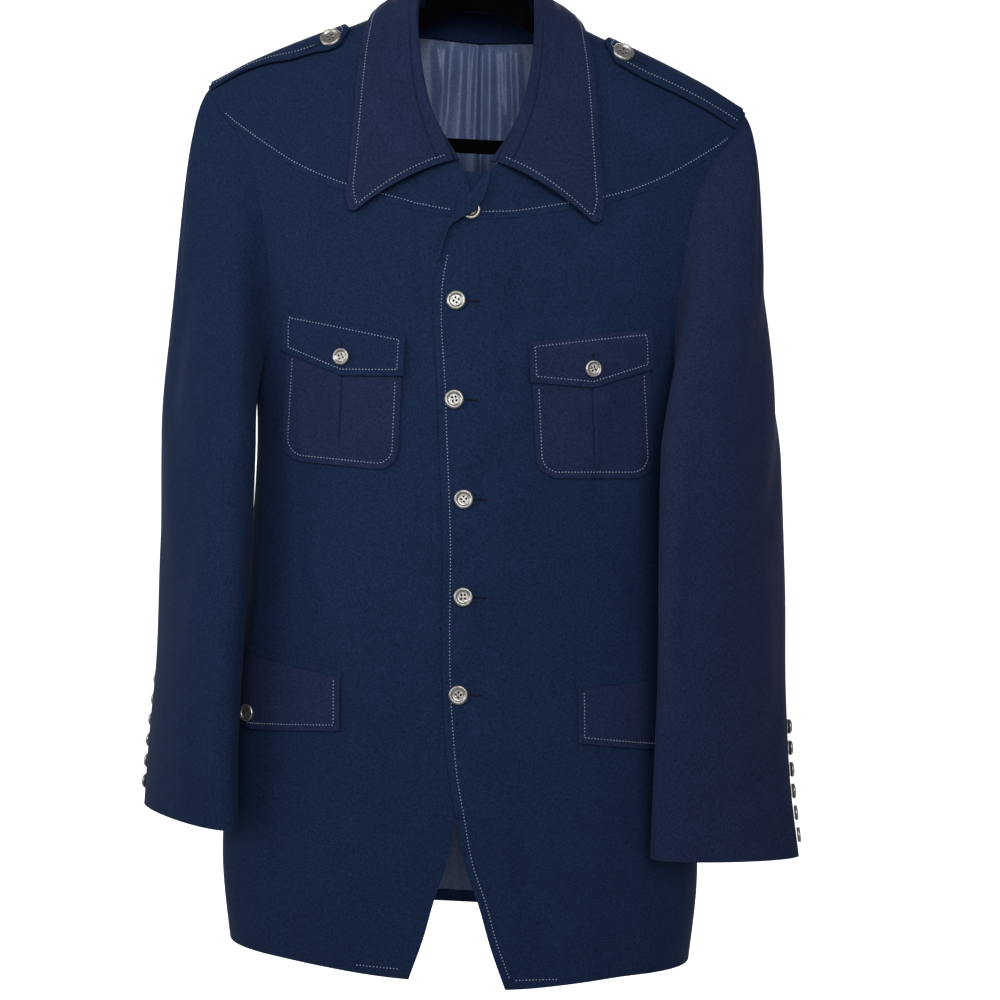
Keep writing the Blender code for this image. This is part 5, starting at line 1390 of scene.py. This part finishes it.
# Studio
studio = {"camera": (0.0255, -1.38, -0.540), "lens": 55.06, "floorZ": -2.95, "nearY": -5.5,
          "wallY": 5.5, "wallTop": 5.0, "half": 6.5, "bend": 0.45, "world": 0.19, "spread": 58.0,
          "aim": (0.0, 0.0, -0.32), "paper": 0.88, "glow": (("paper", 0.0), ("litPaper", 1.05)),
          "lights": (("keyLight", (0.25, -1.9, 0.25), 1.5, 4.2),
                     ("fillLight", (-1.5, -1.2, 0.20), 1.2, 1.7),
                     ("backLight", (0.0, 2.2, 1.1), 1.6, 8.0),
                     ("sideLight", (-2.2, -0.5, -0.55), 0.8, 0.7))}


def makeBackdrop():                # a floor that curves up into a wall, which alone is lit
    for name, glow in studio["glow"]:
        paint[name], tree, shader = nodeSet(name)
        shader.inputs["Base Color"].default_value = (*[studio["paper"]] * 3, 1)
        shader.inputs["Roughness"].default_value = 0.9
        shader.inputs["Emission Color"].default_value = (1, 1, 1, 1)
        shader.inputs["Emission Strength"].default_value = glow
    bend, wallY, floorZ = studio["bend"], studio["wallY"], studio["floorZ"]
    arc = np.linspace(0, math.pi / 2, 17)
    y = np.concatenate([[studio["nearY"]], wallY - bend + bend * np.sin(arc), [wallY]])
    z = np.concatenate([[floorZ], floorZ + bend * (1 - np.cos(arc)), [studio["wallTop"]]])
    x = np.linspace(-studio["half"], studio["half"], 9)
    grid = np.stack(np.broadcast_arrays(x[None, :], y[:, None], z[:, None]), -1)
    sheet = makeMesh("backdrop", grid.reshape(-1, 3), gridFaces(len(y), len(x)).tolist(),
                     [paint["paper"], paint["litPaper"]])
    rows = np.repeat(np.arange(len(y) - 1), len(x) - 1)
    sheet.data.polygons.foreach_set("material_index", (rows > 0).astype(np.int32))


makeBackdrop()
world = bpy.data.worlds.new("studio")
world.use_nodes = True
world.node_tree.nodes["Background"].inputs["Color"].default_value = (1, 1, 1, 1)
world.node_tree.nodes["Background"].inputs["Strength"].default_value = studio["world"]
bpy.context.scene.world = world
bpy.context.scene.view_settings.view_transform = "Standard"
aim = Vector(studio["aim"])
for name, place, size, power in studio["lights"]:
    data = bpy.data.lights.new(name, "AREA")
    data.size, data.energy, data.spread = size, power, math.radians(studio["spread"])
    lamp = bpy.data.objects.new(name, data)
    lamp.location = place
    lamp.rotation_euler = (aim - Vector(place)).to_track_quat("-Z", "Y").to_euler()
    bpy.context.scene.collection.objects.link(lamp)
view = bpy.data.cameras.new("camera")
view.lens, view.sensor_width = studio["lens"], 36.0
camera = bpy.data.objects.new("camera", view)
camera.location = studio["camera"]
camera.rotation_euler = (math.pi / 2, 0, 0)
bpy.context.scene.collection.objects.link(camera)
bpy.context.scene.camera = camera
print("studio ready")

# How each piece was cut: width, length and area, flat
cutSizes = {
    "front_right": (0.320, 0.757, 0.151), "front_left": (0.324, 0.755, 0.160),
    "yoke_front_right": (0.246, 0.250, 0.0292), "yoke_front_left": (0.254, 0.249, 0.0295),
    "back_right": (0.274, 0.850, 0.182), "back_left": (0.281, 0.849, 0.182),
    "top_sleeve_right": (0.335, 0.658, 0.1175), "top_sleeve_left": (0.328, 0.671, 0.1155),
    "under_sleeve_right": (0.258, 0.560, 0.0670), "under_sleeve_left": (0.258, 0.575, 0.0675),
    "collar_fall": (0.104, 0.663, 0.0389), "collar_stand": (0.052, 0.570, 0.0115),
    "chest_pocket_right": (0.108, 0.110, 0.0118), "chest_pocket_left": (0.108, 0.110, 0.0118),
    "chest_flap_right": (0.118, 0.045, 0.0048), "chest_flap_left": (0.116, 0.045, 0.0047),
    "lower_flap_right": (0.123, 0.064, 0.0070), "lower_flap_left": (0.122, 0.064, 0.0070),
    "epaulette_right": (0.073, 0.136, 0.0082), "epaulette_left": (0.073, 0.140, 0.0083),
    "neck_facing": (0.133, 0.023, 0.0030), "lining_back": (0.234, 0.788, 0.1560),
    "facing_left": (0.019, 0.094, 0.0010), "under_corner": (0.052, 0.052, 0.0026),
}
laidOn = {"chest_pocket": "front_", "chest_flap": "chest_pocket_", "lower_flap": "front_",
          "epaulette": "yoke_front_"}
for name, (width, length, area) in cutSizes.items():
    kind, _, side = name.rpartition("_")
    if kind in laidOn:
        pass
    elif name in ("facing_left", "under_corner"):
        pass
    elif name in ("neck_facing", "lining_back"):
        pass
    else:
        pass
print("sheets declared:", len(cutSizes))
